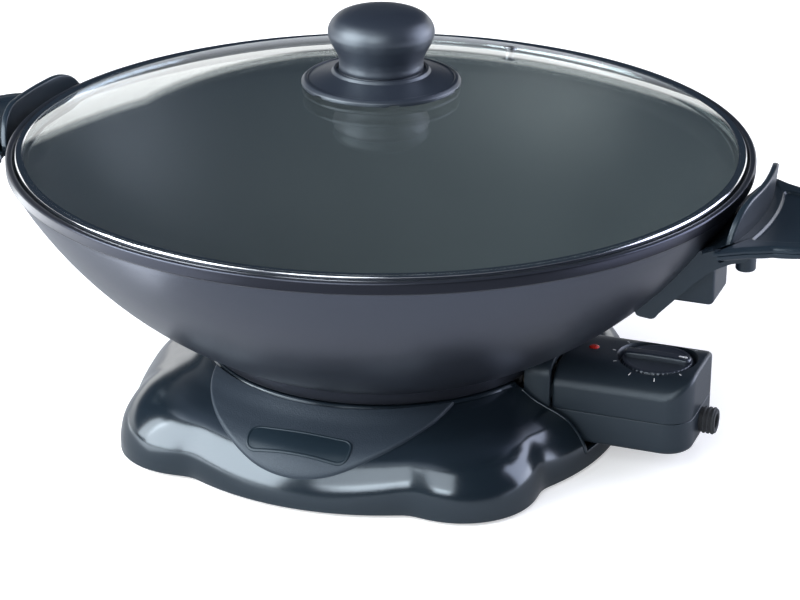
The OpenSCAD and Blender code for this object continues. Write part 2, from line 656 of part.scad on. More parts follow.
module grip_screws() color(steel_c)
    for (a = [0, 180]) rotate([0, 0, a])
        for (s = [-1, 1]) translate([grip_screw_x, s * grip_screw_y, grip_z - 2 * grip_t - touch])
            pan_screw(1.2, 4.6, 2.8, 1.6);

// ======== Lid ========
module at_vent() {
    rotate([0, 0, vent_turn - 90]) translate([0, 0, glass_c]) rotate([0, vent_tilt, 0])
        translate([0, 0, glass_R]) children();
}
module lid_glass() color([0.85, 0.9, 0.92, 0.35]) difference() {
    rotate_extrude() polygon(concat(
        [for (i = [0:24]) let (r = glass_r * i / 24) [r, glass_z(r)]],
        [for (i = [24:-1:0]) let (r = glass_r * i / 24) [r, glass_z(r) - glass_t]]
    ));
    translate([0, 0, crown_z - 20]) cylinder(r = knob_hole_r, h = 40);
    at_vent() cylinder(r = 2.4 + touch, h = 20, center = true);
}
module lid_rim_band() color(steel_c) rotate_extrude() polygon([
    [band_in, glass_z(band_in) + touch], [glass_r + touch, glass_edge + touch],
    [glass_r + touch, glass_edge - glass_t - touch], [band_in + 0.6, glass_z(band_in + 0.6) - glass_t - touch],
    [band_in + 0.6, band_z0], [band_r - 0.6, band_z0], [band_r, band_z0 + 0.6],
    [band_r, band_z1 - 0.6], [band_r - 0.6, band_z1], [band_in + 0.6, band_z1 + 0.25],
    [band_in, band_z1]
]);
module vent_eyelet() color(steel_c) at_vent() difference() {
    union() {
        translate([0, 0, touch]) cylinder(r = 3.8, h = 0.8);
        translate([0, 0, -glass_t - 0.7]) cylinder(r = 2.4, h = glass_t + 1);
        translate([0, 0, -glass_t - 0.75]) cylinder(r = 3.6, h = 0.7);
    }
    cylinder(r = 1.2, h = 20, center = true);
}
module lid_knob() color(matt_black) difference() {
    rotate_extrude() polygon([
        [0, knob_z0], [knob_r - 6.2, knob_z0], [knob_r - 5.4, knob_z0 + 0.9],
        [knob_r - 5.5, knob_z0 + 4], [knob_r - 4.8, knob_z0 + knob_h * 0.23],
        [knob_r - 3, knob_z0 + knob_h * 0.35], [knob_r - 1.2, knob_z0 + knob_h * 0.46],
        [knob_r - 0.2, knob_z0 + knob_h * 0.56], [knob_r, knob_z0 + knob_h * 0.62],
        [knob_r - 0.4, knob_z0 + knob_h * 0.7], [knob_r - 1.8, knob_z0 + knob_h * 0.79],
        [knob_r - 4.6, knob_z0 + knob_h * 0.88], [knob_r - 9, knob_z0 + knob_h * 0.945],
        [knob_r - 15, knob_z0 + knob_h * 0.985], [0, knob_z0 + knob_h]
    ]);
    translate([0, 0, knob_z0 - 1]) cylinder(r = 2.05, h = 18);
}
module knob_skirt() color(matt_black) difference() {
    rotate_extrude() polygon([
        [0, knob_z0 - touch], [knob_r - 5.6, knob_z0 - touch], [knob_r - 5, knob_z0 - 0.6],
        [knob_skirt_r - 13, knob_z0 - 2.2], [knob_skirt_r - 6, skirt_z0 + 4.2],
        [knob_skirt_r - 1.4, skirt_z0 + 2.7], [knob_skirt_r, skirt_z0 + 1.6],
        [knob_skirt_r, skirt_z0 + 0.2], [knob_skirt_r - 2, skirt_z0],
        [knob_skirt_r - 6, skirt_z0 + 1.6], [14, crown_z + 3.2], [14, crown_z + gasket_t + touch],
        [0, crown_z + gasket_t + touch]
    ]);
    translate([0, 0, crown_z - 5]) cylinder(r = 2.6, h = 20);
    // notches in the skirt's lower edge
    for (a = [0:60:300]) rotate([0, 0, a]) translate([knob_skirt_r - 5, -2, skirt_z0 - 2])
        cube([8, 4, 2.8]);
}
module knob_gasket() color([0.2, 0.2, 0.2]) translate([0, 0, crown_z + touch]) difference() {
    cylinder(r = 13, h = gasket_t - touch);
    translate([0, 0, -1]) cylinder(r = knob_hole_r, h = 5);
}
module knob_washer() color(steel_c) translate([0, 0, crown_z - glass_t - 3 * touch - 1.5]) difference() {
    cylinder(r = 9, h = 1.5);
    translate([0, 0, -1]) cylinder(r = 2.3, h = 5);
}
module knob_screw() color(steel_c)
    translate([0, 0, crown_z - glass_t - 4 * touch - 1.5]) pan_screw(2, 26, 4.4, 2.6);

// ======== Temperature control ========
module ctl_section(w, z0, zs, zt) {
    // flat bottom, straight sides up to the shoulder, low crown
    polygon([[-w + 3, z0], [w - 3, z0], [w, z0 + 3], [w, zs], [w - 1.6, zs + 2], [w - 5, zs + (zt - zs) * 0.62],
        [w - 13, zs + (zt - zs) * 0.9], [0, zt], [-w + 13, zs + (zt - zs) * 0.9],
        [-w + 5, zs + (zt - zs) * 0.62], [-w + 1.6, zs + 2], [-w, zs], [-w, z0 + 3]]);
}
ctl_shoulder = control_z - 9.5;
module ctl_plan(inset) {
    // plan of the housing, rounded at its outer end
    translate([nose_x0, -control_w + inset]) square([control_end - 14 - nose_x0, 2 * (control_w - inset)]);
    translate([nose_x0, -control_w + 14]) square([control_end - inset - nose_x0, 2 * (control_w - 14)]);
    for (s = [-1, 1]) translate([control_end - 14, s * (control_w - 14)]) circle(14 - inset);
}
module ctl_solid(inset) {
    intersection() {
        along_x(ctl_x0 + inset, control_end)
            ctl_section(control_w - inset, ctl_z0 + inset, ctl_shoulder - inset, control_z - inset);
        linear_extrude(100) ctl_plan(inset);
    }
    // nose that enters the shroud
    along_x(nose_x0 + inset, ctl_x0 + 3 + inset)
        shroud_section(shroud_w - shroud_t - 1 - inset, shroud_z0 + shroud_t + 1 + inset,
            foot_z0 - 1.4 - inset, 3);
}
module at_posts() {
    for (s = [-1, 1]) {
        translate([ctl_x0 + 9, s * (control_w - 7.5), 0]) children();
        translate([control_end - 15, s * (control_w - 13), 0]) children();
    }
}
module screw_posts(r, h, z) at_posts() translate([0, 0, z]) cylinder(r = r, h = h);
module ctl_shell() difference() {
    union() {
        difference() {
            ctl_solid(0);
            ctl_solid(ctl_wall);
        }
        intersection() {
            ctl_solid(0.5);
            union() {
                screw_posts(3.4, 60, ctl_z0);
                // ring that carries the dial's stem
                translate([dial_x, 0, dial_z - 11]) cylinder(r = 6.5, h = 11);
            }
        }
        // wall under the dial's dish
        intersection() {
            ctl_solid(0.5);
            translate([dial_x, 0, dial_z - 2.2 - 0.4]) cylinder(r = dial_r + 3.6, h = 30);
        }
    }
    // dish for the dial
    translate([dial_x, 0, dial_z - 0.4]) cylinder(r = dial_r + 1.2, h = 30);
    translate([dial_x, 0, dial_z - 20]) cylinder(r = 3 + run, h = 30);
    // mouth of the nose
    translate([nose_x0 - 1, 0, pin_z]) rotate([0, 90, 0])
        linear_extrude(ctl_wall + 3) for (s = [-1, 1]) translate([0, s * pin_y]) circle(4);
    translate([nose_x0 - 1, 0, probe_z]) rotate([0, 90, 0]) cylinder(r = probe_r + touch, h = ctl_wall + 3);
    // pilot light window
    translate([lens_x, 0, control_z - 8]) cylinder(r = lens_r + touch, h = 20);
    // seat of the gland
    translate([control_end - 10, 0, gland_z]) rotate([0, 90, 0]) cylinder(r = 6.2 + touch, h = 30);
}
module control_top() color(matt_black) difference() {
    intersection() {
        ctl_shell();
        translate([0, -100, split_z + touch]) cube([400, 200, 100]);
    }
    screw_posts(1.2, 12, split_z - 1);
}
module control_bottom() color(matt_black) difference() {
    intersection() {
        ctl_shell();
        translate([0, -100, 0]) cube([400, 200, split_z]);
    }
    screw_posts(1.6, 60, 0);
    screw_posts(3, 4, ctl_z0 - 2);
}
module control_screws() color(steel_c)
    at_posts() translate([0, 0, ctl_z0 + 2 - touch]) pan_screw(1.15, 24, 2.7, 1.6);
module probe_rod() color(steel_c) {
    translate([probe_tip + probe_r, 0, probe_z]) rotate([0, 90, 0])
        cylinder(r = probe_r, h = carrier_x1 + 2 - probe_tip - probe_r);
    translate([probe_tip + probe_r, 0, probe_z]) sphere(probe_r);
}
module contact_sleeves() color([0.8, 0.65, 0.3])
    for (s = [-1, 1]) translate([pin_x0 + 11, s * pin_y, pin_z]) rotate([0, 90, 0]) difference() {
        cylinder(r = 3.4, h = carrier_x1 - pin_x0 - 11);
        translate([0, 0, -1]) cylinder(r = pin_r + run, h = 40);
    }
module contact_carrier() color([0.85, 0.83, 0.78]) difference() {
    translate([carrier_x0, -18, probe_z - 6]) cube([carrier_x1 - carrier_x0, 36, 19.4]);
    for (s = [-1, 1]) translate([carrier_x0 - 1, s * pin_y, pin_z]) rotate([0, 90, 0])
        cylinder(r = 3.4 + touch, h = 40);
    translate([carrier_x0 - 1, 0, probe_z]) rotate([0, 90, 0]) cylinder(r = probe_r + touch, h = 40);
}
module thermostat_switch() color([0.6, 0.5, 0.35]) {
    translate([carrier_x1 + 2 + touch, -9, ctl_z0 + ctl_wall + touch]) cube([24, 18, 14]);
    translate([dial_x, 0, ctl_z0 + ctl_wall + touch]) cylinder(r = 7, h = 14);
    translate([dial_x, 0, ctl_z0 + ctl_wall + 14]) cylinder(r = 2, h = 4);
}
module pilot_lens() color([0.8, 0.1, 0.05]) translate([lens_x, 0, 0]) intersection() {
    translate([0, 0, control_z - 4]) cylinder(r = lens_r, h = 5);
    translate([0, 0, control_z - 7]) sphere(r = 8);
}
module cord_gland() color(matt_black) translate([control_end - 7, 0, gland_z]) rotate([0, 90, 0]) difference() {
    union() {
        cylinder(r = 7.2, h = 7 - ctl_wall - touch);
        cylinder(r = 6.2, h = 15);
        for (i = [0:2]) translate([0, 0, 8.5 + i * 2.2]) cylinder(r = 6.9, h = 1.1);
    }
    translate([0, 0, -1]) cylinder(r = gland_bore_r, h = 30);
}
module dial_knob() color(matt_black) translate([dial_x, 0, dial_z]) difference() {
    union() {
        cylinder(r1 = dial_r, r2 = dial_r - 1.2, h = 3.4);
        translate([0, 0, -10]) cylinder(r = 3, h = 11);
        // finger bar
        intersection() {
            cylinder(r = dial_r - 1.2, h = 6.4);
            translate([-dial_r, -3.2, 0]) cube([2 * dial_r, 6.4, 6.4]);
        }
    }
    // recess for the pointer
    translate([dial_r - 8, -0.8, 5.6]) cube([5, 1.6, 2]);
}
module dial_pointer() color([0.9, 0.9, 0.9]) translate([dial_x, 0, dial_z])
    translate([dial_r - 8 + touch, -0.8 + touch, 5.6]) cube([5 - 2 * touch, 1.6 - 2 * touch, 0.9]);

base_shell();
front_panel();
badge_plate();
bottom_plate();
heat_shield();
shield_screws();
plate_screws();
seat_pads();
foot_front_left();
foot_front_right();
foot_rear_left();
foot_rear_right();
wok_bowl();
heating_element();
element_clamp();
clamp_screws();
terminal_pins();
pin_insulators();
earth_spring();
probe_guide();
connector_shroud();
shroud_screws();
handle_upper_left();
handle_lower_left();
handle_upper_right();
handle_lower_right();
handle_screws();
grip_screws();
lid_glass();
lid_rim_band();
vent_eyelet();
lid_knob();
knob_skirt();
knob_gasket();
knob_screw();
knob_washer();
control_top();
control_bottom();
probe_rod();
contact_sleeves();
contact_carrier();
thermostat_switch();
pilot_lens();
cord_gland();
control_screws();
dial_knob();
dial_pointer();
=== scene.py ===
import bpy
import bmesh
import numpy as np
from mathutils import Matrix, Vector


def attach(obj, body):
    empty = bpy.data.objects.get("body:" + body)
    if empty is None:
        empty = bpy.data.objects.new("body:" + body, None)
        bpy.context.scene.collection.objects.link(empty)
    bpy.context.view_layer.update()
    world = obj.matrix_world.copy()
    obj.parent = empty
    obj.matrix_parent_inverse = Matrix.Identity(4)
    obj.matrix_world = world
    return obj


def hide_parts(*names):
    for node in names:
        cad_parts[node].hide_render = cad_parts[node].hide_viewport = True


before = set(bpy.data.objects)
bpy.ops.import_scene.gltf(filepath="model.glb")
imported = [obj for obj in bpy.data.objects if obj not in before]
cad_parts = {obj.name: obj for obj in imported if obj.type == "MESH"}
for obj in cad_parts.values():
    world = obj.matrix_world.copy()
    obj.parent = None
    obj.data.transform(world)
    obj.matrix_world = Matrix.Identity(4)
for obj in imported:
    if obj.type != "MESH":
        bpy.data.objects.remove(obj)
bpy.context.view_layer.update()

scene = bpy.context.scene
MM = 0.001
TAU = 2 * np.pi
SHARP = 34.0                                  # degrees: edges sharper than this stay hard
QUARTER = np.linspace(0, np.pi / 2, 7)

# ---------------------------------------------------------------- camera
eye = Vector((0.4434, -1.1581, 0.5825))
turn, down, roll = np.radians([20.5, 22.8, 0.2])
camera = bpy.data.objects.new("camera", bpy.data.cameras.new("camera"))
camera.data.lens = 117.0
camera.data.sensor_width = 36.0
camera.data.clip_start = 0.05
camera.matrix_world = (Matrix.Translation(eye) @ Matrix.Rotation(turn, 4, "Z")
                       @ Matrix.Rotation(np.pi / 2 - down, 4, "X") @ Matrix.Rotation(roll, 4, "Z"))
scene.collection.objects.link(camera)
scene.camera = camera

# ---------------------------------------------------------------- meshes
def mesh_piece(name, points, faces, sharp=SHARP):
    """A piece from points (mm) and faces: doubles merged, faces outwards, smooth but for the sharp edges."""
    me = bpy.data.meshes.new(name)
    me.from_pydata((np.asarray(points, float) * MM).tolist(), [], faces)
    bm = bmesh.new()
    bm.from_mesh(me)
    bmesh.ops.remove_doubles(bm, verts=bm.verts, dist=2e-6)
    bmesh.ops.dissolve_degenerate(bm, edges=bm.edges, dist=1e-6)
    bmesh.ops.recalc_face_normals(bm, faces=bm.faces)
    bm.to_mesh(me)
    bm.free()
    me.shade_smooth()
    me.set_sharp_from_angle(angle=np.radians(sharp))
    ob = bpy.data.objects.new(name, me)
    scene.collection.objects.link(ob)
    return ob

def grid_faces(n, m, round_u=True, round_v=False, start=0):
    """Quads of an n by m grid of points, joined round along either way."""
    i = np.arange(n if round_u else n - 1)[:, None]
    j = np.arange(m if round_v else m - 1)[None, :]
    i2, j2 = (i + 1) % n, (j + 1) % m
    quads = np.stack([i * m + j, i2 * m + j, i2 * m + j2, i * m + j2], -1)
    return (quads.reshape(-1, 4) + start).tolist()

def grid_piece(name, grid, round_u=True, round_v=False, capped=False, **options):
    """A piece from an (n, m, 3) array of points in mm; capped closes the first and last column with a flat face."""
    n, m = grid.shape[:2]
    faces = grid_faces(n, m, round_u, round_v)
    if capped:
        faces += [[i * m for i in range(n)], [i * m + m - 1 for i in range(n)][::-1]]
    return mesh_piece(name, grid.reshape(-1, 3), faces, **options)

def merged(name, *obs):
    """Several closed shells as one piece; the separate objects are removed."""
    bm = bmesh.new()
    for ob in obs:
        bm.from_mesh(ob.data)
        bpy.data.objects.remove(ob)
    me = bpy.data.meshes.new(name)
    bm.to_mesh(me)
    bm.free()
    me.set_sharp_from_angle(angle=np.radians(SHARP))
    ob = bpy.data.objects.new(name, me)
    scene.collection.objects.link(ob)
    return ob

def softened(path, step=0.35, closed=False):
    """A path of (x, y, radius) corners as points: each corner becomes an arc of its radius, tangent to its sides."""
    pts = [np.array(p[:2], float) for p in path]
    rad = [p[2] if len(p) > 2 else 0.0 for p in path]
    n, out = len(pts), []
    for k in range(n):
        p, r = pts[k], rad[k]
        if r <= 0 or (not closed and k in (0, n - 1)):
            out.append(p)
            continue
        a, b = pts[k - 1] - p, pts[(k + 1) % n] - p
        la, lb = np.linalg.norm(a), np.linalg.norm(b)
        a, b = a / la, b / lb
        half = np.arccos(np.clip(a @ b, -1, 1)) / 2
        if np.pi / 2 - half < 0.01:
            out.append(p)
            continue
        reach = min(r / np.tan(half), 0.49 * la, 0.49 * lb)
        r = reach * np.tan(half)
        centre = p + (a + b) / np.linalg.norm(a + b) * r / np.sin(half)
        s, e = p + a * reach - centre, p + b * reach - centre
        t0 = np.arctan2(s[1], s[0])
        dt = (np.arctan2(e[1], e[0]) - t0 + np.pi) % TAU - np.pi
        for t in t0 + dt * np.linspace(0, 1, max(3, int(abs(dt) * r / step) + 2)):
            out.append(centre + r * np.array([np.cos(t), np.sin(t)]))
    return np.array(out)

def around(n):
    """n azimuths evenly spaced over a full turn."""
    return np.arange(n) * TAU / n

def evenly(loop, n):
    """A closed loop at n points evenly spaced along its own length."""
    p = np.concatenate([loop, loop[:1]])
    s = np.concatenate([[0], np.cumsum(np.linalg.norm(np.diff(p, axis=0), axis=1))])
    t = np.arange(n) * s[-1] / n
    return np.stack([np.interp(t, s, p[:, k]) for k in (0, 1)], -1)

def outward(loop):
    """Unit normals of a closed anticlockwise loop, pointing out of it."""
    d = np.roll(loop, -1, 0) - np.roll(loop, 1, 0)
    d /= np.linalg.norm(d, axis=1, keepdims=True) + 1e-12
    return np.stack([d[:, 1], -d[:, 0]], -1)

def melted(a, b, r):
    """The smaller of two distances, less a parabola where they come within r, so that corners are round."""
    return np.minimum(a, b) - np.maximum(r - np.abs(a - b), 0) ** 2 / (4 * r)

def outline(inside, hub, n=360, far=120.0):
    """Loop of a star-shaped area: the points along n rays from the hub where inside turns negative, by halving."""
    c, s = np.cos(around(n)), np.sin(around(n))
    lo, hi = np.zeros(n), np.full(n, far)
    for _ in range(36):
        mid = (lo + hi) / 2
        ok = inside(hub[0] + mid * c, hub[1] + mid * s) > 0
        lo, hi = np.where(ok, mid, lo), np.where(ok, hi, mid)
    return np.stack([hub[0] + lo * c, hub[1] + lo * s], -1)

def stacked(rows):
    """Grid from rows, each a loop of points in plan and its height (a number or one for each point)."""
    return np.stack([np.column_stack([p, np.broadcast_to(z, len(p))]) for p, z in rows], 1)

def slab(loop, hub, low, high, round_low, round_high, fill=9):
    """Grid of a slab with rounded edges: from the hub over the underside, round the lower edge, up the side, round the
    upper edge and back over the top. low and high give the heights of its faces over points in plan."""
    nrm, hub = outward(loop), np.broadcast_to(np.asarray(hub, float), loop.shape)
    spread = lambda inset, k: hub + (loop - nrm * inset - hub) * k
    rows = [(spread(round_low, k), low, 0) for k in np.linspace(0, 1, fill)[:-1]]
    rows += [(loop - nrm * round_low * (1 - np.sin(t)), low, round_low * (1 - np.cos(t))) for t in QUARTER]
    rows += [(loop - nrm * round_high * (1 - np.cos(t)), high, round_high * (np.sin(t) - 1)) for t in QUARTER]
    rows += [(spread(round_high, k), high, 0) for k in np.linspace(1, 0, fill)[1:]]
    return stacked([(p, face(p) + lift) for p, face, lift in rows])

def flat(z):
    """A level face at height z."""
    return lambda p: np.full(len(p), float(z))

def across(loop, half, edge, steps=14):
    """Grid of a side outline (x, z) carried across from -half to half in y, its two rims rounded by the radius edge."""
    nrm = outward(loop)
    rows = [(loop - nrm * edge * (1 - np.sin(t)), -half + edge * (1 - np.cos(t))) for t in QUARTER]
    rows += [(loop, y) for y in np.linspace(-half + edge, half - edge, steps)[1:-1]]
    rows += [(loop - nrm * edge * (1 - np.cos(t)), half - edge * (1 - np.sin(t))) for t in QUARTER]
    return stacked(rows)[..., [0, 2, 1]]

def swept(profile, az, wider=0.0):
    """Grid of a profile of (radius, height) points swept round the Z axis at the azimuths az, and made wider."""
    prof = np.asarray(profile, float)
    r = prof[:, 0] + wider + np.zeros((len(az), 1))
    return np.stack([np.cos(az)[:, None] * r, np.sin(az)[:, None] * r, np.broadcast_to(prof[:, 1], r.shape)], -1)

def turned(name, profile, n=192, closed=True, place=None, **options):
    """A turned piece: the profile swept once round the Z axis, then moved by the matrix place, whose shift is in mm."""
    m = np.array(place or Matrix())
    return grid_piece(name, swept(profile, around(n)) @ m[:3, :3].T + m[:3, 3], True, closed, **options)

def at(x, y, z):
    """The matrix of a shift."""
    return Matrix.Translation((x, y, z))

def about(axis, degrees):
    """The matrix of a turn about an axis through the origin."""
    return Matrix.Rotation(np.radians(degrees), 4, axis)

def box(x, half, z):
    """A cutter between two x and two z, from -half to half in y."""
    corners = [(x[0], z[0]), (x[1], z[0]), (x[1], z[1]), (x[0], z[1])]
    return grid_piece("box", across(np.array(corners, float), half, 0.0, 3), capped=True)

def give(ob, body, slot, material, *nodes):
    """The piece rides on its body, takes the material and stands for the nodes named, which are hidden; slot is not
    used.
    """
    ob.data.materials.clear()
    ob.data.materials.append(material)
    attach(ob, body)
    if nodes:
        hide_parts(*nodes)
    return ob

def cut(ob, *cutters):
    """The piece less the cutters, by exact booleans that are applied at once; the cutters are removed."""
    for c in cutters:
        mod = ob.modifiers.new("cut", "BOOLEAN")
        mod.operation, mod.solver, mod.object = "DIFFERENCE", "MANIFOLD", c
    ready = bpy.data.meshes.new_from_object(ob.evaluated_get(bpy.context.evaluated_depsgraph_get()))
    ob.modifiers.clear()
    ob.data = ready
    for c in cutters:
        bpy.data.objects.remove(c)
    ready.shade_smooth()
    ready.set_sharp_from_angle(angle=np.radians(SHARP))
    return ob

def rod(radius, start, end, n=48):
    """A closed cylinder between two points (mm), used as a cutter."""
    run = Vector(end) - Vector(start)
    profile = [(0, 0), (radius, 0), (radius, run.length), (0, run.length)]
    return turned("cutter", profile, n, False, at(*start) @ run.to_track_quat("Z", "Y").to_matrix().to_4x4())

# ---------------------------------------------------------------- shader maths
class Val:
    """A socket in arithmetic: an expression on values adds its Math nodes."""
    def __init__(self, tree, socket):
        self.tree, self.socket = tree, socket

    def op(self, name, *args):
        node = self.tree.nodes.new("ShaderNodeMath")
        node.operation = name
        for slot, a in zip(node.inputs, args):
            if isinstance(a, Val):
                self.tree.links.new(a.socket, slot)
            else:
                slot.default_value = float(a)
        return Val(self.tree, node.outputs[0])

    def __add__(self, o): return self.op("ADD", self, o)
    def __radd__(self, o): return self.op("ADD", o, self)
    def __sub__(self, o): return self.op("SUBTRACT", self, o)
    def __rsub__(self, o): return self.op("SUBTRACT", o, self)
    def __mul__(self, o): return self.op("MULTIPLY", self, o)
    def __rmul__(self, o): return self.op("MULTIPLY", o, self)
    def __truediv__(self, o): return self.op("DIVIDE", self, o)
    def __pow__(self, o): return self.op("POWER", self, o)
    def most(self, o): return self.op("MAXIMUM", self, o)
    def clip(self): return self.op("MINIMUM", self.op("MAXIMUM", self, 0.0), 1.0)
    def above(self, edge, soft):
        """0 below the edge, 1 above it, over a soft width."""
        return ((self - edge) / soft + 0.5).clip()

class Nodes:
    """A node tree with one method that adds any node."""
    def __init__(self, tree):
        self.tree = tree
        tree.nodes.clear()

    def node(self, kind, settings=None, **inputs):
        """Any node: its settings first, then its sockets by name, with _ for a space, or by number after an i."""
        node = self.tree.nodes.new(kind)
        for key, value in (settings or {}).items():
            setattr(node, key, value)
        for key, value in inputs.items():
            by_number = key[0] == "i" and key[1:].isdigit()
            self.feed(node.inputs[int(key[1:]) if by_number else key.replace("_", " ")], value)
        return node

    def feed(self, slot, value):
        if isinstance(value, Val):
            value = value.socket
        if isinstance(value, bpy.types.NodeSocket):
            self.tree.links.new(value, slot)
        elif isinstance(value, tuple) and len(value) == 3 and slot.type == "RGBA":
            slot.default_value = (*value, 1.0)
        else:
            slot.default_value = value

    def val(self, socket):
        return Val(self.tree, socket)

    def seen(self):
        """Two values: 1 for rays from the camera, and 1 for those together with rays in mirrors and through glass."""
        path = self.node("ShaderNodeLightPath")
        camera, glossy, through = (self.val(path.outputs["Is %s Ray" % k])
                                   for k in ("Camera", "Glossy", "Transmission"))
        return camera, camera.most(glossy).most(through)

class Finish(Nodes):
    """A procedural material on one Principled shader, with helpers for its nodes."""
    def __init__(self, name, **sockets):
        self.mat = bpy.data.materials.new(name)
        self.mat.use_nodes = True
        super().__init__(self.mat.node_tree)
        self.skin = self.node("ShaderNodeBsdfPrincipled")
        self.out = self.node("ShaderNodeOutputMaterial", Surface=self.skin.outputs[0])
        self.place = self.node("ShaderNodeTexCoord").outputs["Object"]
        self.set(**sockets)

    def set(self, **sockets):
        for key, value in sockets.items():
            self.feed(self.skin.inputs[key.replace("_", " ")], value)
        return self

    def noise(self, scale, detail=2.0, rough=0.5):
        """Noise of about 0 to 1 whose grains are 1/scale metres."""
        return self.val(self.node("ShaderNodeTexNoise", {"noise_dimensions": "3D"}, Vector=self.place,
                                  Scale=scale, Detail=detail, Roughness=rough).outputs["Fac"])

    def cells(self, scale):
        return self.val(self.node("ShaderNodeTexVoronoi", Vector=self.place, Scale=scale).outputs["Distance"])

    def axes(self):
        """X, Y and Z of the point, and its distance from the Z axis."""
        x, y, z = (self.val(a) for a in self.node("ShaderNodeSeparateXYZ", Vector=self.place).outputs)
        return x, y, z, (x * x + y * y) ** 0.5

    def mix(self, fac, a, b):
        """Colour a where fac is 0, b where it is 1."""
        return self.node("ShaderNodeMix", {"data_type": "RGBA"}, i0=fac, i6=a, i7=b).outputs[2]

    def bump(self, height, distance, strength):
        return self.node("ShaderNodeBump", Height=height, Distance=distance, Strength=strength).outputs[0]

# ---------------------------------------------------------------- finishes
def moulded(name, dark, light, rough, grain=0.0, pit=1400.0, ior=1.5, satin=0.05):
    """Moulded plastic: slow drifts of tone and shine, a fine ripple, and a spark-eroded grain of close pits where grain
    is above 0, with the pits' bottoms painted darker as painted shade."""
    f = Finish(name, IOR=ior, Specular_Tint=(0.80, 0.91, 1.0))
    wide, fine = f.noise(16.0, 3.0), f.noise(1700.0, 2.0)
    tone = 0.65 * wide + 0.35 * fine
    height, depth = f.noise(420.0, 3.0), 0.000016
    if grain:
        pits = f.cells(pit)
        height, depth = (pits * 0.75 + fine * 0.5).clip(), 0.00013 * grain
        # painted shade: the tone follows the pits' depth, so the grain's hollows are darker
        tone = 0.35 * wide + 0.65 * height
    f.set(Base_Color=f.mix(tone.clip(), dark, light),
          Roughness=rough + satin * wide + satin * fine,
          Normal=f.bump(height, depth, 0.7))
    return f.mat

def metal(name, dark, light, rough, brush=0.0, worn=0.5, tint=None):
    """Bare or plated metal: fine scratches stretched round the axis by brush, a duller film in patches."""
    f = Finish(name, Metallic=1.0)
    wide, fine = f.noise(34.0, 4.0), f.noise(1800.0, 2.0)
    _, _, z, ring = f.axes()
    lay = f.val(f.node("ShaderNodeTexNoise", {"noise_dimensions": "2D"},
                       Vector=f.node("ShaderNodeCombineXYZ", X=ring, Y=z).outputs[0],
                       Scale=3200.0, Detail=2.0).outputs["Fac"])
    colour = f.mix((0.7 * wide + 0.3 * fine).clip(), dark, light)
    if tint:
        colour = f.mix(((f.noise(9.0, 2.0) - 0.45) * 3.0).clip() * 0.5, colour, tint)
    f.set(Base_Color=colour, Roughness=rough + 0.12 * worn * wide + 0.05 * fine,
          Normal=f.bump((fine * (1 - brush) + lay * brush).clip(), 0.000012 + 0.00002 * brush, 0.4))
    return f.mat

def bowl_coat():
    """Cast bowl: satin grey metallic enamel outside and on the rim, a dark speckled non-stick coat inside and on the
    lid's rebate, told apart by the wall's own arc. The enamel has an orange-peel ripple and fine flakes. The rim's
    upright side is painted darker, a painted dark reflection of the room."""
    f = Finish("bowl enamel and coat", IOR=1.5)
    _, _, z, ring = f.axes()
    span = ((ring + 0.0057) ** 2.0 + (z - 0.2459) ** 2.0) ** 0.5
    outside = span.above(0.2175, 0.0006).most(ring.above(0.18465, 0.0002)).most(1 - z.above(0.0405, 0.0004))
    flake, fine, wide = f.cells(2600.0), f.noise(2400.0, 3.0, 0.6), f.noise(14.0, 3.0)
    skin = f.mix((0.5 * fine + 0.5 * wide).clip(), (0.055, 0.062, 0.083), (0.078, 0.087, 0.112))
    skin = f.mix((1 - flake.above(0.10, 0.12)) * 0.35, skin, (0.30, 0.32, 0.36))
    # painted dark reflection: the rim's upright side is painted as a darker ring, standing in for the dark room it
    # mirrors
    upright = ring.above(0.18720, 0.0004) * z.above(0.14235, 0.0006) * (1 - z.above(0.14745, 0.0005))
    skin = f.mix(upright, skin, (0.018, 0.020, 0.028))
    speck = (1 - f.cells(2200.0).above(0.12, 0.08)) * 0.45
    coat = f.mix(speck, f.mix(wide, (0.046, 0.054, 0.061), (0.060, 0.069, 0.077)), (0.115, 0.120, 0.130))
    f.set(Base_Color=f.mix(outside, coat, skin), Metallic=0.85 * outside,
          Roughness=(0.24 + 0.08 * wide + 0.05 * fine) * outside + (0.34 + 0.10 * fine) * (1 - outside),
          Normal=f.bump((flake * 0.3 + fine * 0.4 + f.noise(330.0, 2.0) * 0.3) * 0.6, 0.000016, 0.5))
    return f.mat

def clear_glass():
    """Clear tempered glass: Fresnel mirror over a see-through tint, with the faintest wave from the drawing of the
    sheet. The pane doesn't bend the rays, so it mirrors the same from within as from outside."""
    f = Finish("lid clear glass")
    f.tree.nodes.remove(f.skin)
    wave = f.bump(f.noise(11.0, 1.0), 0.00003, 0.5)
    shine = f.node("ShaderNodeBsdfGlossy", Color=(0.96, 0.98, 0.98), Roughness=0.012, Normal=wave)
    through = f.node("ShaderNodeBsdfTransparent", Color=(0.945, 0.968, 0.960))
    back = f.val(f.node("ShaderNodeNewGeometry").outputs["Backfacing"])
    edge = f.node("ShaderNodeFresnel", IOR=1.52 - back * (1.52 - 1 / 1.52))
    mix = f.node("ShaderNodeMixShader", i0=edge.outputs[0], i1=through.outputs[0], i2=shine.outputs[0])
    f.feed(f.out.inputs[0], mix.outputs[0])
    return f.mat

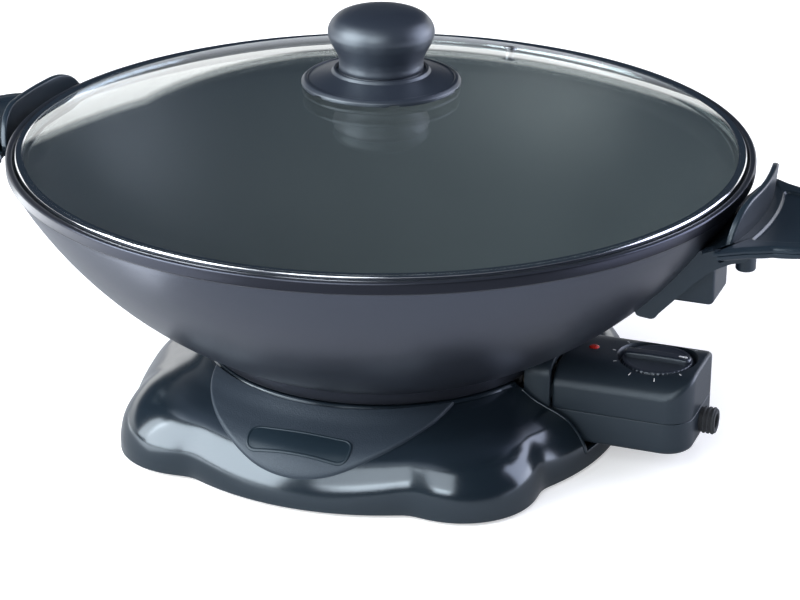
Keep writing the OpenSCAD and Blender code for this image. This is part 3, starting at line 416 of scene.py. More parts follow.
STAND = moulded("stand gloss black", (0.0045, 0.0080, 0.0122), (0.0075, 0.0122, 0.0172), 0.13, ior=1.66, satin=0.04)
PANEL = moulded("panel grained charcoal", (0.0085, 0.0135, 0.0200), (0.0210, 0.0285, 0.0400), 0.46, 1.0, 1500.0,
                ior=1.42)
BADGE = moulded("plate satin black", (0.0055, 0.0110, 0.0165), (0.0075, 0.0135, 0.0195), 0.28, ior=1.36)
SATIN = moulded("grip satin black", (0.0070, 0.0125, 0.0195), (0.0105, 0.0170, 0.0250), 0.27, 0.25, 2100.0)
PLAIN = moulded("control fine matt black", (0.0080, 0.0130, 0.0185), (0.0140, 0.0205, 0.0280), 0.34, 0.45, 2300.0)
KNOB = moulded("knob satin black", (0.0090, 0.0122, 0.0205), (0.0125, 0.0165, 0.0260), 0.36, 0.12, 2300.0, ior=1.78)
PLATE = moulded("bottom plate matt grey", (0.020, 0.021, 0.023), (0.042, 0.043, 0.046), 0.55, 1.0, 1200.0)
SHEET = metal("rolled sheet steel", (0.50, 0.51, 0.52), (0.66, 0.67, 0.69), 0.30, 0.5)
SCREW = metal("zinc plated steel", (0.46, 0.46, 0.45), (0.62, 0.62, 0.60), 0.28, 0.2)
BAND = metal("polished stainless band", (0.60, 0.62, 0.65), (0.74, 0.76, 0.79), 0.07, 0.6, 0.2)
EYELET = metal("eyelet steel", (0.20, 0.21, 0.23), (0.30, 0.31, 0.33), 0.24, 0.2)
BOWL = bowl_coat()
TUBE = metal("heat darkened sheath", (0.10, 0.085, 0.075), (0.26, 0.23, 0.21), 0.40, 0.3, 0.8, (0.30, 0.18, 0.10))
PIN = metal("nickelled pin", (0.62, 0.60, 0.54), (0.76, 0.74, 0.68), 0.20, 0.2)
BRASS = metal("bare brass", (0.62, 0.44, 0.16), (0.80, 0.62, 0.30), 0.26, 0.2, 0.6, (0.40, 0.26, 0.10))
STEATITE = moulded("steatite", (0.58, 0.55, 0.49), (0.78, 0.75, 0.68), 0.50, 0.5, 900.0)
SWITCH = moulded("switch block", (0.26, 0.18, 0.11), (0.42, 0.32, 0.21), 0.42, 0.3, 1500.0)
RUBBER = moulded("soft rubber", (0.014, 0.014, 0.015), (0.032, 0.032, 0.034), 0.66, 0.8, 1600.0)
SILICONE = moulded("silicone pad", (0.24, 0.050, 0.036), (0.34, 0.080, 0.060), 0.50, 0.3, 1800.0)
GLASS = clear_glass()
LENS = moulded("pilot lens red", (0.36, 0.012, 0.008), (0.52, 0.026, 0.014), 0.08)
WHITE = moulded("printed white", (0.66, 0.67, 0.68), (0.80, 0.81, 0.82), 0.42)

NODE_FINISH = {
    "bottom_plate": PLATE, "heat_shield": SHEET, "shield_screws": SCREW, "plate_screws": SCREW, "seat_pads": SILICONE,
    "heating_element": TUBE, "element_clamp": SHEET, "clamp_screws": SCREW, "terminal_pins": PIN,
    "pin_insulators": STEATITE, "earth_spring": BRASS, "probe_guide": SHEET, "connector_shroud": PLAIN,
    "shroud_screws": SCREW, "handle_screws": SCREW, "grip_screws": SCREW, "knob_gasket": RUBBER, "knob_screw": SCREW,
    "knob_washer": SCREW, "control_bottom": PLAIN, "probe_rod": SCREW, "contact_sleeves": BRASS,
    "contact_carrier": STEATITE, "thermostat_switch": SWITCH, "control_screws": SCREW}
for name, material in NODE_FINISH.items():
    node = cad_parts[name]
    node.data.materials.clear()
    node.data.materials.append(material)

# ---------------------------------------------------------------- stand
LIP_R, LIP_Z, SKIRT_R, FLOOR_Z = 87.5, 42.6, 127.0, 2.0
LOBES = np.radians([227.0, 313.0, 47.0, 133.0])
LOBE_D, LOBE_R, BLEND = 105.0, 38.0, 2.5
PANEL_LIFT = 2.0
NOTCH = 32.4                                  # half width of the notch for the control

def curve(keys, t):
    """Smooth cubic through evenly numbered keys (Catmull-Rom), read at t from 0 to 1; works on whole arrays."""
    k = np.asarray(keys, float)
    k = np.concatenate([[2 * k[0] - k[1]], k, [2 * k[-1] - k[-2]]])
    s = np.clip(np.asarray(t, float), 0, 1) * (len(k) - 3)
    i = np.minimum(s.astype(int), len(k) - 4)
    f = (s - i)[(...,) + (None,) * (k.ndim - 1)]
    a, b, c, d = k[i], k[i + 1], k[i + 2], k[i + 3]
    return 0.5 * (2 * b + (c - a) * f + (2 * a - 5 * b + 4 * c - d) * f ** 2 + (3 * b - a - 3 * c + d) * f ** 3)

# section between the lobes as shares of the way out and of the height, and what a lobe adds to it
HOLLOW = [(0, 1), (.1, .915), (.23, .815), (.4, .735), (.565, .67), (.71, .59), (.84, .46), (.94, .29), (.99, .12),
          (1, 0)]
SWELL = [(0, 0), (.12, .05), (.3, .09), (.43, .125), (.56, .135), (.71, .13), (.85, .125), (.96, .11), (1, .06),
         (1, 0)]

def stand_skin(az, t):
    """Points of the stand's outer surface at azimuth az and share t from lip to bottom edge: the hollow's section,
    swollen outwards and upwards by the nearest lobe, whose outline is its own circle melted into the skirt's."""
    az, t = np.broadcast_arrays(np.asarray(az, float), np.asarray(t, float))
    off = np.min(np.abs((az[..., None] - LOBES + 3 * np.pi) % TAU - np.pi), -1)
    q = LOBE_R ** 2 - (LOBE_D * np.sin(off)) ** 2
    ray = np.where(q > 0, LOBE_D * np.cos(off) + np.sqrt(np.maximum(q, 0)), 0)
    reach = BLEND * np.log1p(np.exp(np.clip((ray - SKIRT_R) / BLEND, -60, 60)))
    full = BLEND * np.log1p(np.exp((LOBE_D + LOBE_R - SKIRT_R) / BLEND))
    low = reach / full
    high = (1 + np.cos(np.pi * np.minimum(1, off / np.radians(36)))) / 2
    k = t ** 2
    w = high * (1 - k) + low * k
    h, s = curve(HOLLOW, t), curve(SWELL, t)
    r = LIP_R + 3 + h[..., 0] * (SKIRT_R - LIP_R - 3) + w * s[..., 0] * full
    z = FLOOR_Z + (LIP_Z - 1 - FLOOR_Z) * (h[..., 1] + w * s[..., 1])
    return np.stack([r * np.cos(az), r * np.sin(az), z], -1)

def stand_height(x, y):
    """Height of the stand's surface above points in plan, by inverting the share t along each point's own section."""
    az, r = np.arctan2(y, x), np.hypot(x, y)
    p = stand_skin(az[..., None], np.linspace(0, 1, 161))
    pr = np.maximum.accumulate(np.hypot(p[..., 0], p[..., 1]), -1)
    k = np.clip((pr < r[..., None]).sum(-1), 1, 160)[..., None]
    (r0, r1), (z0, z1) = ([np.take_along_axis(v, k - d, -1)[..., 0] for d in (1, 0)] for v in (pr, p[..., 2]))
    return z0 + (z1 - z0) * np.clip((r - r0) / np.maximum(r1 - r0, 1e-6), 0, 1)

def stand_body():
    """Closed section at each azimuth: ledge and inner wall, lip, outer surface to the bottom edge, and the inside,
    2.6 under it, back to the ledge. The notch for the control is cut out of it."""
    az = around(540)
    t = np.linspace(0, 1, 56)
    skin = stand_skin(az[:, None], t[None, :])
    inner = skin[:, ::-1].copy()
    away = inner[..., :2] / np.linalg.norm(inner[..., :2], axis=-1, keepdims=True)
    k = t[::-1][None, :, None]
    inner[..., :2] -= away * 2.6 * (0.25 + 0.75 * k ** 1.5)
    inner[..., 2:] = np.maximum(FLOOR_Z, inner[..., 2:] - 2.6 * (1 - 0.35 * k))
    lip = softened([(90.6, 32), (74, 32, .4), (74, 35, .6), (LIP_R, 35, .3), (LIP_R, LIP_Z, 1.1), (90.1, LIP_Z, 1.4),
                    (91.0, 41.2)], .3)
    g = np.concatenate([swept(lip, az), skin[:, 2:], inner[:, :-2]], 1)
    return cut(grid_piece("stand_body", g, True, True), box((67, 267), NOTCH + 0.1, (10, 110)))

def notch_trim():
    """Rounded trim along both cut edges of the stand's notch and across its sill: a small round section carried along
    the line where the side planes and the sill meet the outer surface."""
    n = 260
    x, y = np.linspace(86.5, 135, n), np.full(n, -NOTCH)
    z = stand_height(x, y)
    side = np.stack([x, y, z - 0.55], -1)[z > 10.4]
    az = np.linspace(np.arctan2(-NOTCH, side[-1, 0]), 0, 40)[1:]
    skin = stand_skin(az[:, None], np.linspace(0.5, 1, 400)[None, :])
    sill = skin[np.arange(len(az)), np.abs(skin[..., 2] - 9.5).argmin(1)] - np.array([0.7, 0, 0])
    half = np.concatenate([side, sill])
    path = np.concatenate([half, half[-2::-1] * [1, -1, 1]])
    s = np.concatenate([[0], np.cumsum(np.linalg.norm(np.diff(path, axis=0), axis=1))])
    path = np.stack([np.interp(np.linspace(0, s[-1], n), s, path[:, k]) for k in range(3)], -1)
    run = np.gradient(path, axis=0)
    run /= np.linalg.norm(run, axis=1, keepdims=True)
    side_dir = np.cross(run, [0.35, 0, 1.0])
    side_dir /= np.linalg.norm(side_dir, axis=1, keepdims=True)
    up = np.cross(side_dir, run)
    a = around(20)[None, :, None]
    ends = np.clip(np.minimum(np.arange(n), n - 1 - np.arange(n)) / 3.0, 0, 1)[:, None, None] ** 0.5
    g = path[:, None] + 1.05 * ends * (np.cos(a) * side_dir[:, None] + np.sin(a) * up[:, None])
    return grid_piece("notch_trim", g.transpose(1, 0, 2))

give(stand_body(), "base", "gloss_black", STAND, "base_shell")
give(notch_trim(), "base", "gloss_black", STAND)

def rounded_lift(edge, height, radius):
    """Height of a raised face at a distance from its edge: a quarter round, then level."""
    d = np.clip(edge / radius, 0, 1)
    return height - radius + radius * np.sqrt(np.maximum(0, 1 - (1 - d) ** 2))

def panel():
    """Grained panel: from the lip's circle out to a circle of its own about a point in front of the axis, raised above
    the stand, quarter-round at its edge."""
    near, own, front = 91.9, 64.0, 59.5
    half = np.arccos((near ** 2 + front ** 2 - own ** 2) / (2 * near * front))
    side = np.sin(np.linspace(-1, 1, 241) * np.pi / 2) * half
    far = front * np.cos(side) + np.sqrt(own ** 2 - (front * np.sin(side)) ** 2)
    t = (1 - np.cos(np.linspace(0, 1, 90) * np.pi)) / 2
    r = near + (far - near)[:, None] * t
    x, y = r * np.sin(side)[:, None], -r * np.cos(side)[:, None]
    stand, edge = stand_height(x, y), np.minimum(own - np.hypot(x, y + front), r - near)
    g, low = (np.stack([x, y, z], -1) for z in (stand + rounded_lift(edge, PANEL_LIFT, 1.0), stand - 0.4))
    n, m = x.shape
    ids = np.arange(n * m).reshape(n, m)
    ids = [*ids[:, 0], *ids[-1, 1:], *ids[-2::-1, -1], *ids[0, -2:0:-1]]
    walls = [[int(k) for k in (a, b, b + n * m, a + n * m)] for a, b in zip(ids, ids[1:] + ids[:1])]
    faces = grid_faces(n, m, False) + [f[::-1] for f in grid_faces(n, m, False, start=n * m)] + walls
    return mesh_piece("panel_face", np.concatenate([g.reshape(-1, 3), low.reshape(-1, 3)]), faces, sharp=60)

give(panel(), "base", "grained_charcoal", PANEL, "front_panel")

def badge():
    """Blank plate laid on the panel: a rounded rectangle with a low raised rim all round and a level face inside it."""
    loop = outline(lambda x, y: melted(27.2 - np.abs(x), 7.5 - np.abs(y), 7.0), (0.0, 0.0), 420, 40)
    nrm = outward(loop)
    steps = [(0, -0.9), (0, .25), (.06, .42), (.2, .54), (.4, .6), (.75, .6), (.95, .55), (1.1, .42), (1.25, .3),
             (1.5, .27)]
    rows = [(loop - nrm * inset, lift) for inset, lift in steps]
    rows += [((loop - nrm * 1.5) * k, .27) for k in np.linspace(1, 0, 12)[1:]]
    g = stacked(rows)
    x, y = g[..., 0], -111.8 + g[..., 1] * np.cos(np.radians(35))
    return grid_piece("blank_plate", np.stack([x, y, stand_height(x, y) + PANEL_LIFT + g[..., 2]], -1), sharp=70)

give(badge(), "base", "badge_black", BADGE, "badge_plate")

FOOT = softened([(0, 0), (9, 0, .8), (9, 2), (4, 2, .2), (4, 7), (4.9, 7.1, .3), (3.6, 9.5, .6), (0, 9.5)], .15)
for side, name in zip(LOBES, ("foot_front_left", "foot_front_right", "foot_rear_right", "foot_rear_left")):
    place = at(LOBE_D * np.cos(side), LOBE_D * np.sin(side), 0)
    give(turned("pad_" + name, FOOT, 64, False, place), "base", "foot_rubber", RUBBER, name)

# ---------------------------------------------------------------- bowl
ARC = (-5.7, 245.9, 219.0)                    # the outside's centre (radius, height) and its radius
WALL_T, STUD_Z = 3.0, 101.0
EAR_X, EARS = 73.5, (-24, 24)

def wall_r(z):
    """Radius of the wall's outside at height z."""
    return ARC[0] + np.sqrt(ARC[2] ** 2 - (z - ARC[1]) ** 2)

def wall(r0, r1, inset, n):
    """Points along the wall's arc between two radii, moved towards its centre by inset."""
    r = np.linspace(r0, r1, n)
    return [(a, ARC[1] - np.sqrt((ARC[2] - inset) ** 2 - (a - ARC[0]) ** 2)) for a in r]

def bowl_shell():
    """Turned wall of the bowl: floor, foot ring, foot band, outer arc, rim band, rim, the lid's rebate and the inner
    arc; then the grips' studs, which end inside the wall, and the bosses for the shroud and the element's clamp."""
    outer, inner = wall(90.0, 186.9, 0, 90), wall(62, 178.4, WALL_T, 90)
    path = [(0, 39.0), (66, 39.0, 2), *wall(68, 78.5, 0, 6), (80, 36.6, 1.0), (80.4, 36, .4), (85.5, 36, .8),
            (85.5, 43.4, .8), (90, 43.4, 1.0), *outer[2:-1], (186.7, 141.6, .5), (188, 142.6, .8), (188, 148, 1.2),
            (184.6, 148, 1.0), (184.6, 142.5, .5), (179.5, 142.5, 1.0), *inner[-2:4:-1],
            (62, wall(62, 63, WALL_T, 2)[0][1], 6), (56, 42.0), (0, 42.0)]
    shell = turned("bowl_shell", softened(path, .3), 360, False, sharp=50)
    shell = cut(shell, box((70, 85.6), 19, (30, 42.4)))
    stud = softened([(0, -8), (5.5, -8), (5.5, 6, .6), (2.2, 6, .3), (2.2, -0.5), (0, -0.5)], .2)
    inside = [(0, 80), *wall(130, 176, WALL_T / 2, 30), (0, 130)]
    parts = [cut(turned("stud", stud, 48, False, about("Z", a) @ at(wall_r(STUD_Z), 0, STUD_Z) @ about("Y", 90)),
                 turned("inside", inside, 96, False)) for a in (0, 180)]
    parts += [turned("ear", softened([(1.5, 35), (4.5, 35, .4), (4.5, 39.6), (1.5, 39.6)], .2), 40, True,
                     at(EAR_X, y, 0)) for y in EARS]
    parts += [turned("boss", softened([(1.5, 31), (4, 31, .4), (4, 39.5), (1.5, 39.5)], .2), 40, True,
                     about("Z", a) @ at(40, 0, 0)) for a in (90, 210, 330)]
    return merged("bowl_shell", shell, *parts)

give(bowl_shell(), "bowl", "cast_bowl", BOWL, "wok_bowl")

# ---------------------------------------------------------------- grips
HUB = (216.0, 0.0)
PLATE_TOP, PLATE_LOW = 136.0, 133.06

def plate_area(x, y):
    """Inside measure of a grip's plan: the end's arc, its two sides that narrow outwards, and the guard's arc."""
    sides = np.interp(x, [180, 189.5, 199.8, 211.7, 250], [61.5, 54.5, 47.4, 41.8, 38.5]) - np.abs(y)
    end = np.where(x > 210, 49 - np.hypot(x - 195, y), 49 - 0.6 * (x - 195))
    return melted(melted(end, sides, 7), np.hypot(x, y) - 194.6, 1.2)

def dish_area(x, y):
    """Inside measure of the dished part of the grip's top."""
    sides = np.interp(x, [197.5, 212.2, 244], [37, 34.0, 31.5]) - np.abs(y)
    return melted(melted(42 - np.hypot(x - 195, y), sides, 6), np.hypot(x, y) - 202.0, 5)

def grip_top():
    """Upper plate: flat underside, rounded rim, a level border, then a step of soft S section down into the dish."""
    loop, dish = outline(plate_area, HUB, 480), outline(dish_area, HUB, 480)
    nrm, dn, hub, q = outward(loop), outward(dish), np.array(HUB), np.linspace(0, np.pi / 2, 8)
    low, high, depth = 0.35, 2.0, 1.4           # radii of the rim's two edges, and the dish's depth
    rows = [(hub + (loop - nrm * low - hub) * k, PLATE_LOW) for k in np.linspace(0, 1, 6)[:-1]]
    rows += [(loop - nrm * low * (1 - np.sin(t)), PLATE_LOW + low * (1 - np.cos(t))) for t in q]
    rows += [(loop - nrm * high * (1 - np.cos(t)), PLATE_TOP - high * (1 - np.sin(t))) for t in q]
    ledge, floor = loop - nrm * high, dish - dn * 1.6
    rows += [(ledge + (dish - ledge) * k, PLATE_TOP) for k in (0.35, 0.7, 0.95)]
    rows += [(dish + (floor - dish) * k, PLATE_TOP - depth * (1 - np.cos(np.pi * k)) / 2) for k in np.linspace(0, 1, 9)]
    rows += [(hub + (floor - hub) * k, PLATE_TOP - depth) for k in np.linspace(1, 0, 12)[1:]]
    return stacked(rows)

def grip_guard():
    """Guard: a leaning sector of a ring with rounded upper corners and rims. The slab is worked out flat in
    (across, up) and bent to the ring."""
    inside = lambda y, z: melted(melted(46 - np.abs(y), 153 - z, 26), z - 133.2, 0.6)
    loop = outline(inside, (0.0, 143.0), 520, 60)
    spine = np.stack([np.clip(loop[:, 0], -34, 34), np.full(len(loop), 142.0)], -1)
    g = slab(loop, spine, flat(0.0), flat(3.3), 1.0, 1.15, 8)
    y, z, t = g[..., 0], g[..., 1], g[..., 2]
    ring = 194.25 + 0.1 * (z - 133) + t
    return np.stack([np.sqrt(ring ** 2 - y ** 2), y, z], -1)

def grip_ramp():
    """Ramp from the guard's foot down to the wall, narrowing inwards: a slab whose two faces fall with the radius."""
    edge = lambda x, y: np.interp(np.hypot(x, y), [176, 186, 196], [29.5, 39.0, 52.0]) - np.abs(y)
    inside = lambda x, y: melted(melted(edge(x, y), np.hypot(x, y) - 177.6, 1.5), 195.6 - np.hypot(x, y), 0.6)
    loop = outline(inside, (187.5, 0.0), 480)
    spine = np.stack([np.sqrt(189.0 ** 2 - np.clip(loop[:, 1], -34, 34) ** 2), np.clip(loop[:, 1], -34, 34)], -1)
    fall = lambda p: np.interp(np.hypot(p[:, 0], p[:, 1]), [177, 183, 189, 193, 196.4],
                               [125.4, 129.6, 133.2, 134.9, 135.8])
    return slab(loop, spine, lambda p: fall(p) - 2.9, fall, 0.8, 1.1, 12)

def grip_under():
    """Lower shell of the grip: the plate's outline again, its underside swelling to a keel round (204.2, 0)."""
    loop = outline(lambda x, y: melted(plate_area(x, y), np.hypot(x, y) - 195.6, 1.5), HUB, 480)
    keel = lambda p: 130 - 6.9 * np.clip(1 - (np.hypot(p[:, 0] - 204.2, p[:, 1]) / 29.0) ** 2.6, 0, 1) ** 0.9
    return slab(loop, HUB, keel, flat(132.96), 1.9, 0.35, 30)

def arm_outline():
    """Side outline of the arm (radius, height): up along the wall, out under the ramp to the plate, and back down its
    concave lower edge."""
    up = [(wall_r(z) + 0.3, z) for z in np.linspace(91, 119, 15)]
    low = curve([(198.6, 123.4), (192.4, 121.9), (187.2, 119.4), (181.8, 116.0), (176.3, 111.2), (171.2, 105.9),
                 (166.2, 100.4), (161.3, 94.9), (157.4, 90.6)], np.linspace(0, 1, 60))
    path = [*low, (155.4, 87.6, 2.0), (wall_r(88.4) + 1.2, 88.4, 1.4), *up, (wall_r(122) + 0.5, 122.2, .6),
            (189.0, 129.9, .8), (198.0, 131.0, .8), (201.0, 128, 1.0)]
    return evenly(softened(path, .3, True)[::-1], 260)

def grip_arm():
    """Arm and saddle: the side outline carried across between y = -31 and 31 and bent round the bowl's axis."""
    g = across(arm_outline()[::-1], 31, 1.5)
    g[..., 0] = np.sqrt(np.maximum(g[..., 0] ** 2 - g[..., 1] ** 2, 1.0))
    return g

def grip_block():
    """Block round the stud: a box with rounded edges whose inner side follows the wall."""
    up = [(wall_r(z) + 0.4, z) for z in np.linspace(92, 108, 6)]
    path = [*up, (wall_r(110) + 0.4, 110, .6), (178.1, 110, 1.8), (178.1, 90, 3.0), (wall_r(90) + 0.6, 90, .6)]
    return across(evenly(softened(path, .3, True)[::-1], 160), 13.5, 1.6, 8)

for sign, side in ((1, "right"), (-1, "left")):
    part = lambda grid, capped=False: grid_piece("part", grid * np.array([sign, sign, 1.0]), capped=capped)
    top = [part(grip_top()), part(grip_guard()), part(grip_ramp())]
    give(merged("grip_top_" + side, *top), "bowl", "satin_black", SATIN, "handle_upper_" + side)
    bores = [rod(3.2, (213.5 * sign, y, 100), (213.5 * sign, y, 130)) for y in (-24, 24)]
    boss = softened([(0, 106), (5, 106, 1.2), (5, 126), (0, 126)], .2)
    under = [cut(part(grip_under()), *bores), part(grip_arm(), True), part(grip_block(), True),
             turned("part", boss, 64, False, at(190.0 * sign, 0, 0))]
    give(merged("grip_under_" + side, *under), "bowl", "satin_black", SATIN, "handle_lower_" + side)

# ---------------------------------------------------------------- lid
EDGE_R, RISE, GLASS_T = 182.0, 31.3, 3.5
GLASS_R = (EDGE_R ** 2 + RISE ** 2) / (2 * RISE)
CROWN = 148.25 + RISE

def glass_height(r):
    """Height of the glass's outside at a radius: a sphere through its edge and its crown."""
    return CROWN - GLASS_R + np.sqrt(GLASS_R ** 2 - r ** 2)

def lid_pane():
    """Glass: the sphere and the same again below it, with a ground rounded edge and the knob's hole."""
    r = np.linspace(5.0, 181.3, 90)
    top = np.stack([r, glass_height(r)], -1)
    a = np.linspace(np.pi / 2, -np.pi / 2, 9)
    edge = np.stack([180.9 + 1.1 * np.cos(a), glass_height(181.3) - GLASS_T / 2 + 1.7 * np.sin(a)], -1)
    return turned("lid_pane", np.concatenate([top, edge, (top - [0, GLASS_T])[::-1]]), 300)

give(lid_pane(), "lid", "lid_clear", GLASS, "lid_glass")

def rim_band():
    """Steel band rolled round the glass's edge: a low bead on top that rises outwards, tight rims, upright outside,
    a lip under the glass."""
    bead = [(179.3 + 3.4 * k, 148.72 + 0.73 * np.sin(1.62 * k)) for k in np.linspace(0, 1, 15)]
    path = [(179.1, glass_height(179.1) + .05), (179.1, 148.6, .15), *bead, (183.3, 148.9, .3), (183.3, 142.6, .5),
            (179.7, 142.6, .3), (179.7, 145.0), (182.05, 144.7), (182.05, 148.3)]
    return turned("rim_band", softened(path, .2), 480, sharp=40)

give(rim_band(), "lid", "band_steel", BAND, "lid_rim_band")

KNOB_KEYS = [(0, 187.05), (12, 187.05), (20.0, 187.05), (21.1, 187.9), (21.1, 191.0), (21.8, 194.1), (23.6, 197.7),
             (25.4, 201.1), (26.4, 204.1), (26.6, 206.0), (26.2, 208.4), (24.8, 211.1), (22, 213.9), (17.6, 215.87),
             (11.6, 217.1), (5, 217.5), (0, 217.55)]

def knob():
    """Knob: a smooth curve through its section's points, turned, with the screw's bore from below."""
    body = curve(KNOB_KEYS, np.linspace(0, 1, 150))
    body[:, 0] = np.maximum(body[:, 0], 0)
    body[0], body[-1] = KNOB_KEYS[0], KNOB_KEYS[-1]
    return turned("knob_body", [(0, 202.0), (2.05, 202.0), (2.05, 187.05), *body[12:]], 192, False)

give(knob(), "lid", "knob_black", KNOB, "lid_knob")

def skirt():
    """Knob's skirt: a raised ring round the neck, a hollow top, a bead round the edge and six low notches under it."""
    path = softened([(2.6, 186.9), (21.3, 186.9, .2), (21.5, 186.0, .1), (22.3, 186.0, .1), (22.5, 187.2, .35),
                     (23.8, 187.1, .5), (24.8, 185.5, .9), (30, 184.0, 6), (36.0, 182.2, 1), (36.7, 182.1, .25),
                     (37.0, 182.55, .3), (38.5, 182.2, .7), (39.9, 180.9, .7), (39.9, 179.2, .35), (37.9, 179.0, .3),
                     (33.9, 180.6, 1), (14, 182.8, .5), (14, 180.65, .3), (2.6, 180.65)], .2)
    az, notches = around(360), 6
    near = np.abs((az * notches / TAU + 0.5) % 1 - 0.5) * TAU / notches * 39
    g = swept(path, az)
    g[..., 2] += (0.9 * np.clip((2.4 - near) / 0.5, 0, 1)[:, None] * np.clip((path[:, 0] - 35) / 0.8, 0, 1)
                  * np.clip((180.6 - path[:, 1]) / 1.0, 0, 1))
    return grid_piece("knob_foot", g, True, True)

give(skirt(), "lid", "knob_black", KNOB, "knob_skirt")

VENT = (about("Z", 77) @ at(0, 0, CROWN - GLASS_R) @ about("Y", np.degrees(np.arcsin(124.5 / GLASS_R)))
        @ at(0, 0, GLASS_R))
eyelet = softened([(1.2, -4.2), (3.6, -4.2, .2), (3.6, -3.6, .2), (2.4, -3.55), (2.4, .06), (3.8, .06, .15),
                   (3.6, .7, .4), (1.9, .85, .4), (1.2, .2, .3)], .1, True)
give(turned("vent_ring", eyelet, 72, True, VENT), "lid", "band_steel", EYELET, "vent_eyelet")

# ---------------------------------------------------------------- temperature control
HALF_W, PIN_Z, PROBE_Z, BUSH_Z = 29.0, 34.9, 25.9, 22.5
PINS = (-12, 12)
LENS_X = 115.1
DIAL = np.array([148.1, 0.0, 48.45])
MIDDLE = (137.0, 0.0)

def crown(y):
    """Height of the housing's top: a low crown that falls ever faster towards the sides."""
    return 52.95 - 9.4 * (np.abs(y) / HALF_W) ** 4.2

def housing_area(x, y):
    """Inside measure of the housing's plan: square at the stand's end, rounded by 14 at the outer end."""
    far = 14 - np.hypot(np.maximum(x - 158.0, 0), np.maximum(np.abs(y) - 15.0, 0))
    return melted(np.minimum(far, HALF_W - np.abs(y)), x - 102.1, 2)

def housing(name, low, high, round_low, round_high, fill):
    """Half of the housing: a slab over its plan between two faces."""
    loop = outline(housing_area, MIDDLE, 480, 60)
    return grid_piece(name, slab(loop, MIDDLE, low, high, round_low, round_high, fill))

def nose(corners):
    """The half of the housing that enters the shroud: a side outline carried across."""
    return grid_piece("nose", across(evenly(softened(corners, .2, True), 120), 27, 2.0, 10), capped=True)

def control_cover():
    """Upper housing: from the parting line to the crown, a turned dish sunk in it for the dial, a window for the light
    and the pins' bores in its nose."""
    ob = housing("control_cover", flat(30.06), lambda p: crown(p[:, 1]), 0.4, 2.2, 24)
    dish = softened([(0, 48.05), (19.7, 48.05, .8), (19.7, 51.6), (20.6, 53.4), (20.6, 70), (0, 70)], .2)
    ob = cut(ob, turned("dish", dish, 144, False, at(*DIAL[:2], 0)), rod(2.65, (LENS_X, 0, 40), (LENS_X, 0, 60)),
             rod(3.06, (*DIAL[:2], 20), (*DIAL[:2], 60)))
    front = nose([(96, 30.06, .3), (104, 30.06), (104, 42, .4), (96, 42, 1.5)])
    return merged("control_cover", ob, cut(front, *[rod(4.0, (90, y, PIN_Z), (103, y, PIN_Z)) for y in PINS]))

def control_tray():
    """Lower housing: from its rounded underside to the parting line, with the screws' bores, the lead bush's seat and
    the probe's bore in its nose."""
    ob = housing("control_tray", flat(13.0), flat(29.95), 2.8, 0.4, 12)
    spots = [(111.1, -21.5), (111.1, 21.5), (157.0, -16), (157.0, 16)]
    ob = cut(ob, *[rod(3.0, (x, y, 5), (x, y, 15)) for x, y in spots], rod(6.25, (162, 0, BUSH_Z), (190, 0, BUSH_Z)))
    front = nose([(96, 15.5, 1.5), (104, 15.5, .4), (104, 29.95), (96, 29.95, .3)])
    return merged("control_tray", ob, cut(front, rod(3.06, (90, 0, PROBE_Z), (103, 0, PROBE_Z))))

give(control_cover(), "control", "plain_black", PLAIN, "control_top")
give(control_tray(), "control", "plain_black", PLAIN, "control_bottom")

lens = softened([(0, 48.9), (2.6, 48.9), (2.6, 53.2, .3), (1.6, 53.75, .8), (0, 53.95)], .1)
give(turned("light_lens", lens, 64, False, at(LENS_X, 0, 0)), "control", "lens_red", LENS, "pilot_lens")

def bush():
    """Lead bush: a collar, a tapering stem with three rounded ribs, and an open bore, turned about the X axis."""
    ribs = [(r, 8.3 + x + 2.2 * k, e) for k in range(3)
            for r, x, e in ((6.2, 0, .15), (6.9, .3, .3), (6.9, 1.2, .3), (6.2, 1.5, .15))]
    path = [(3.8, 0.1, .3), (7.2, 0.1, .3), (7.2, 4.6, .3), (6.2, 4.8), *ribs, (6.2, 15, .8), (3.8, 15, .6)]
    return turned("lead_bush", softened(path, .12, True), 96, True, at(165, 0, BUSH_Z) @ about("Y", 90))

give(bush(), "control", "foot_rubber", RUBBER, "cord_gland")

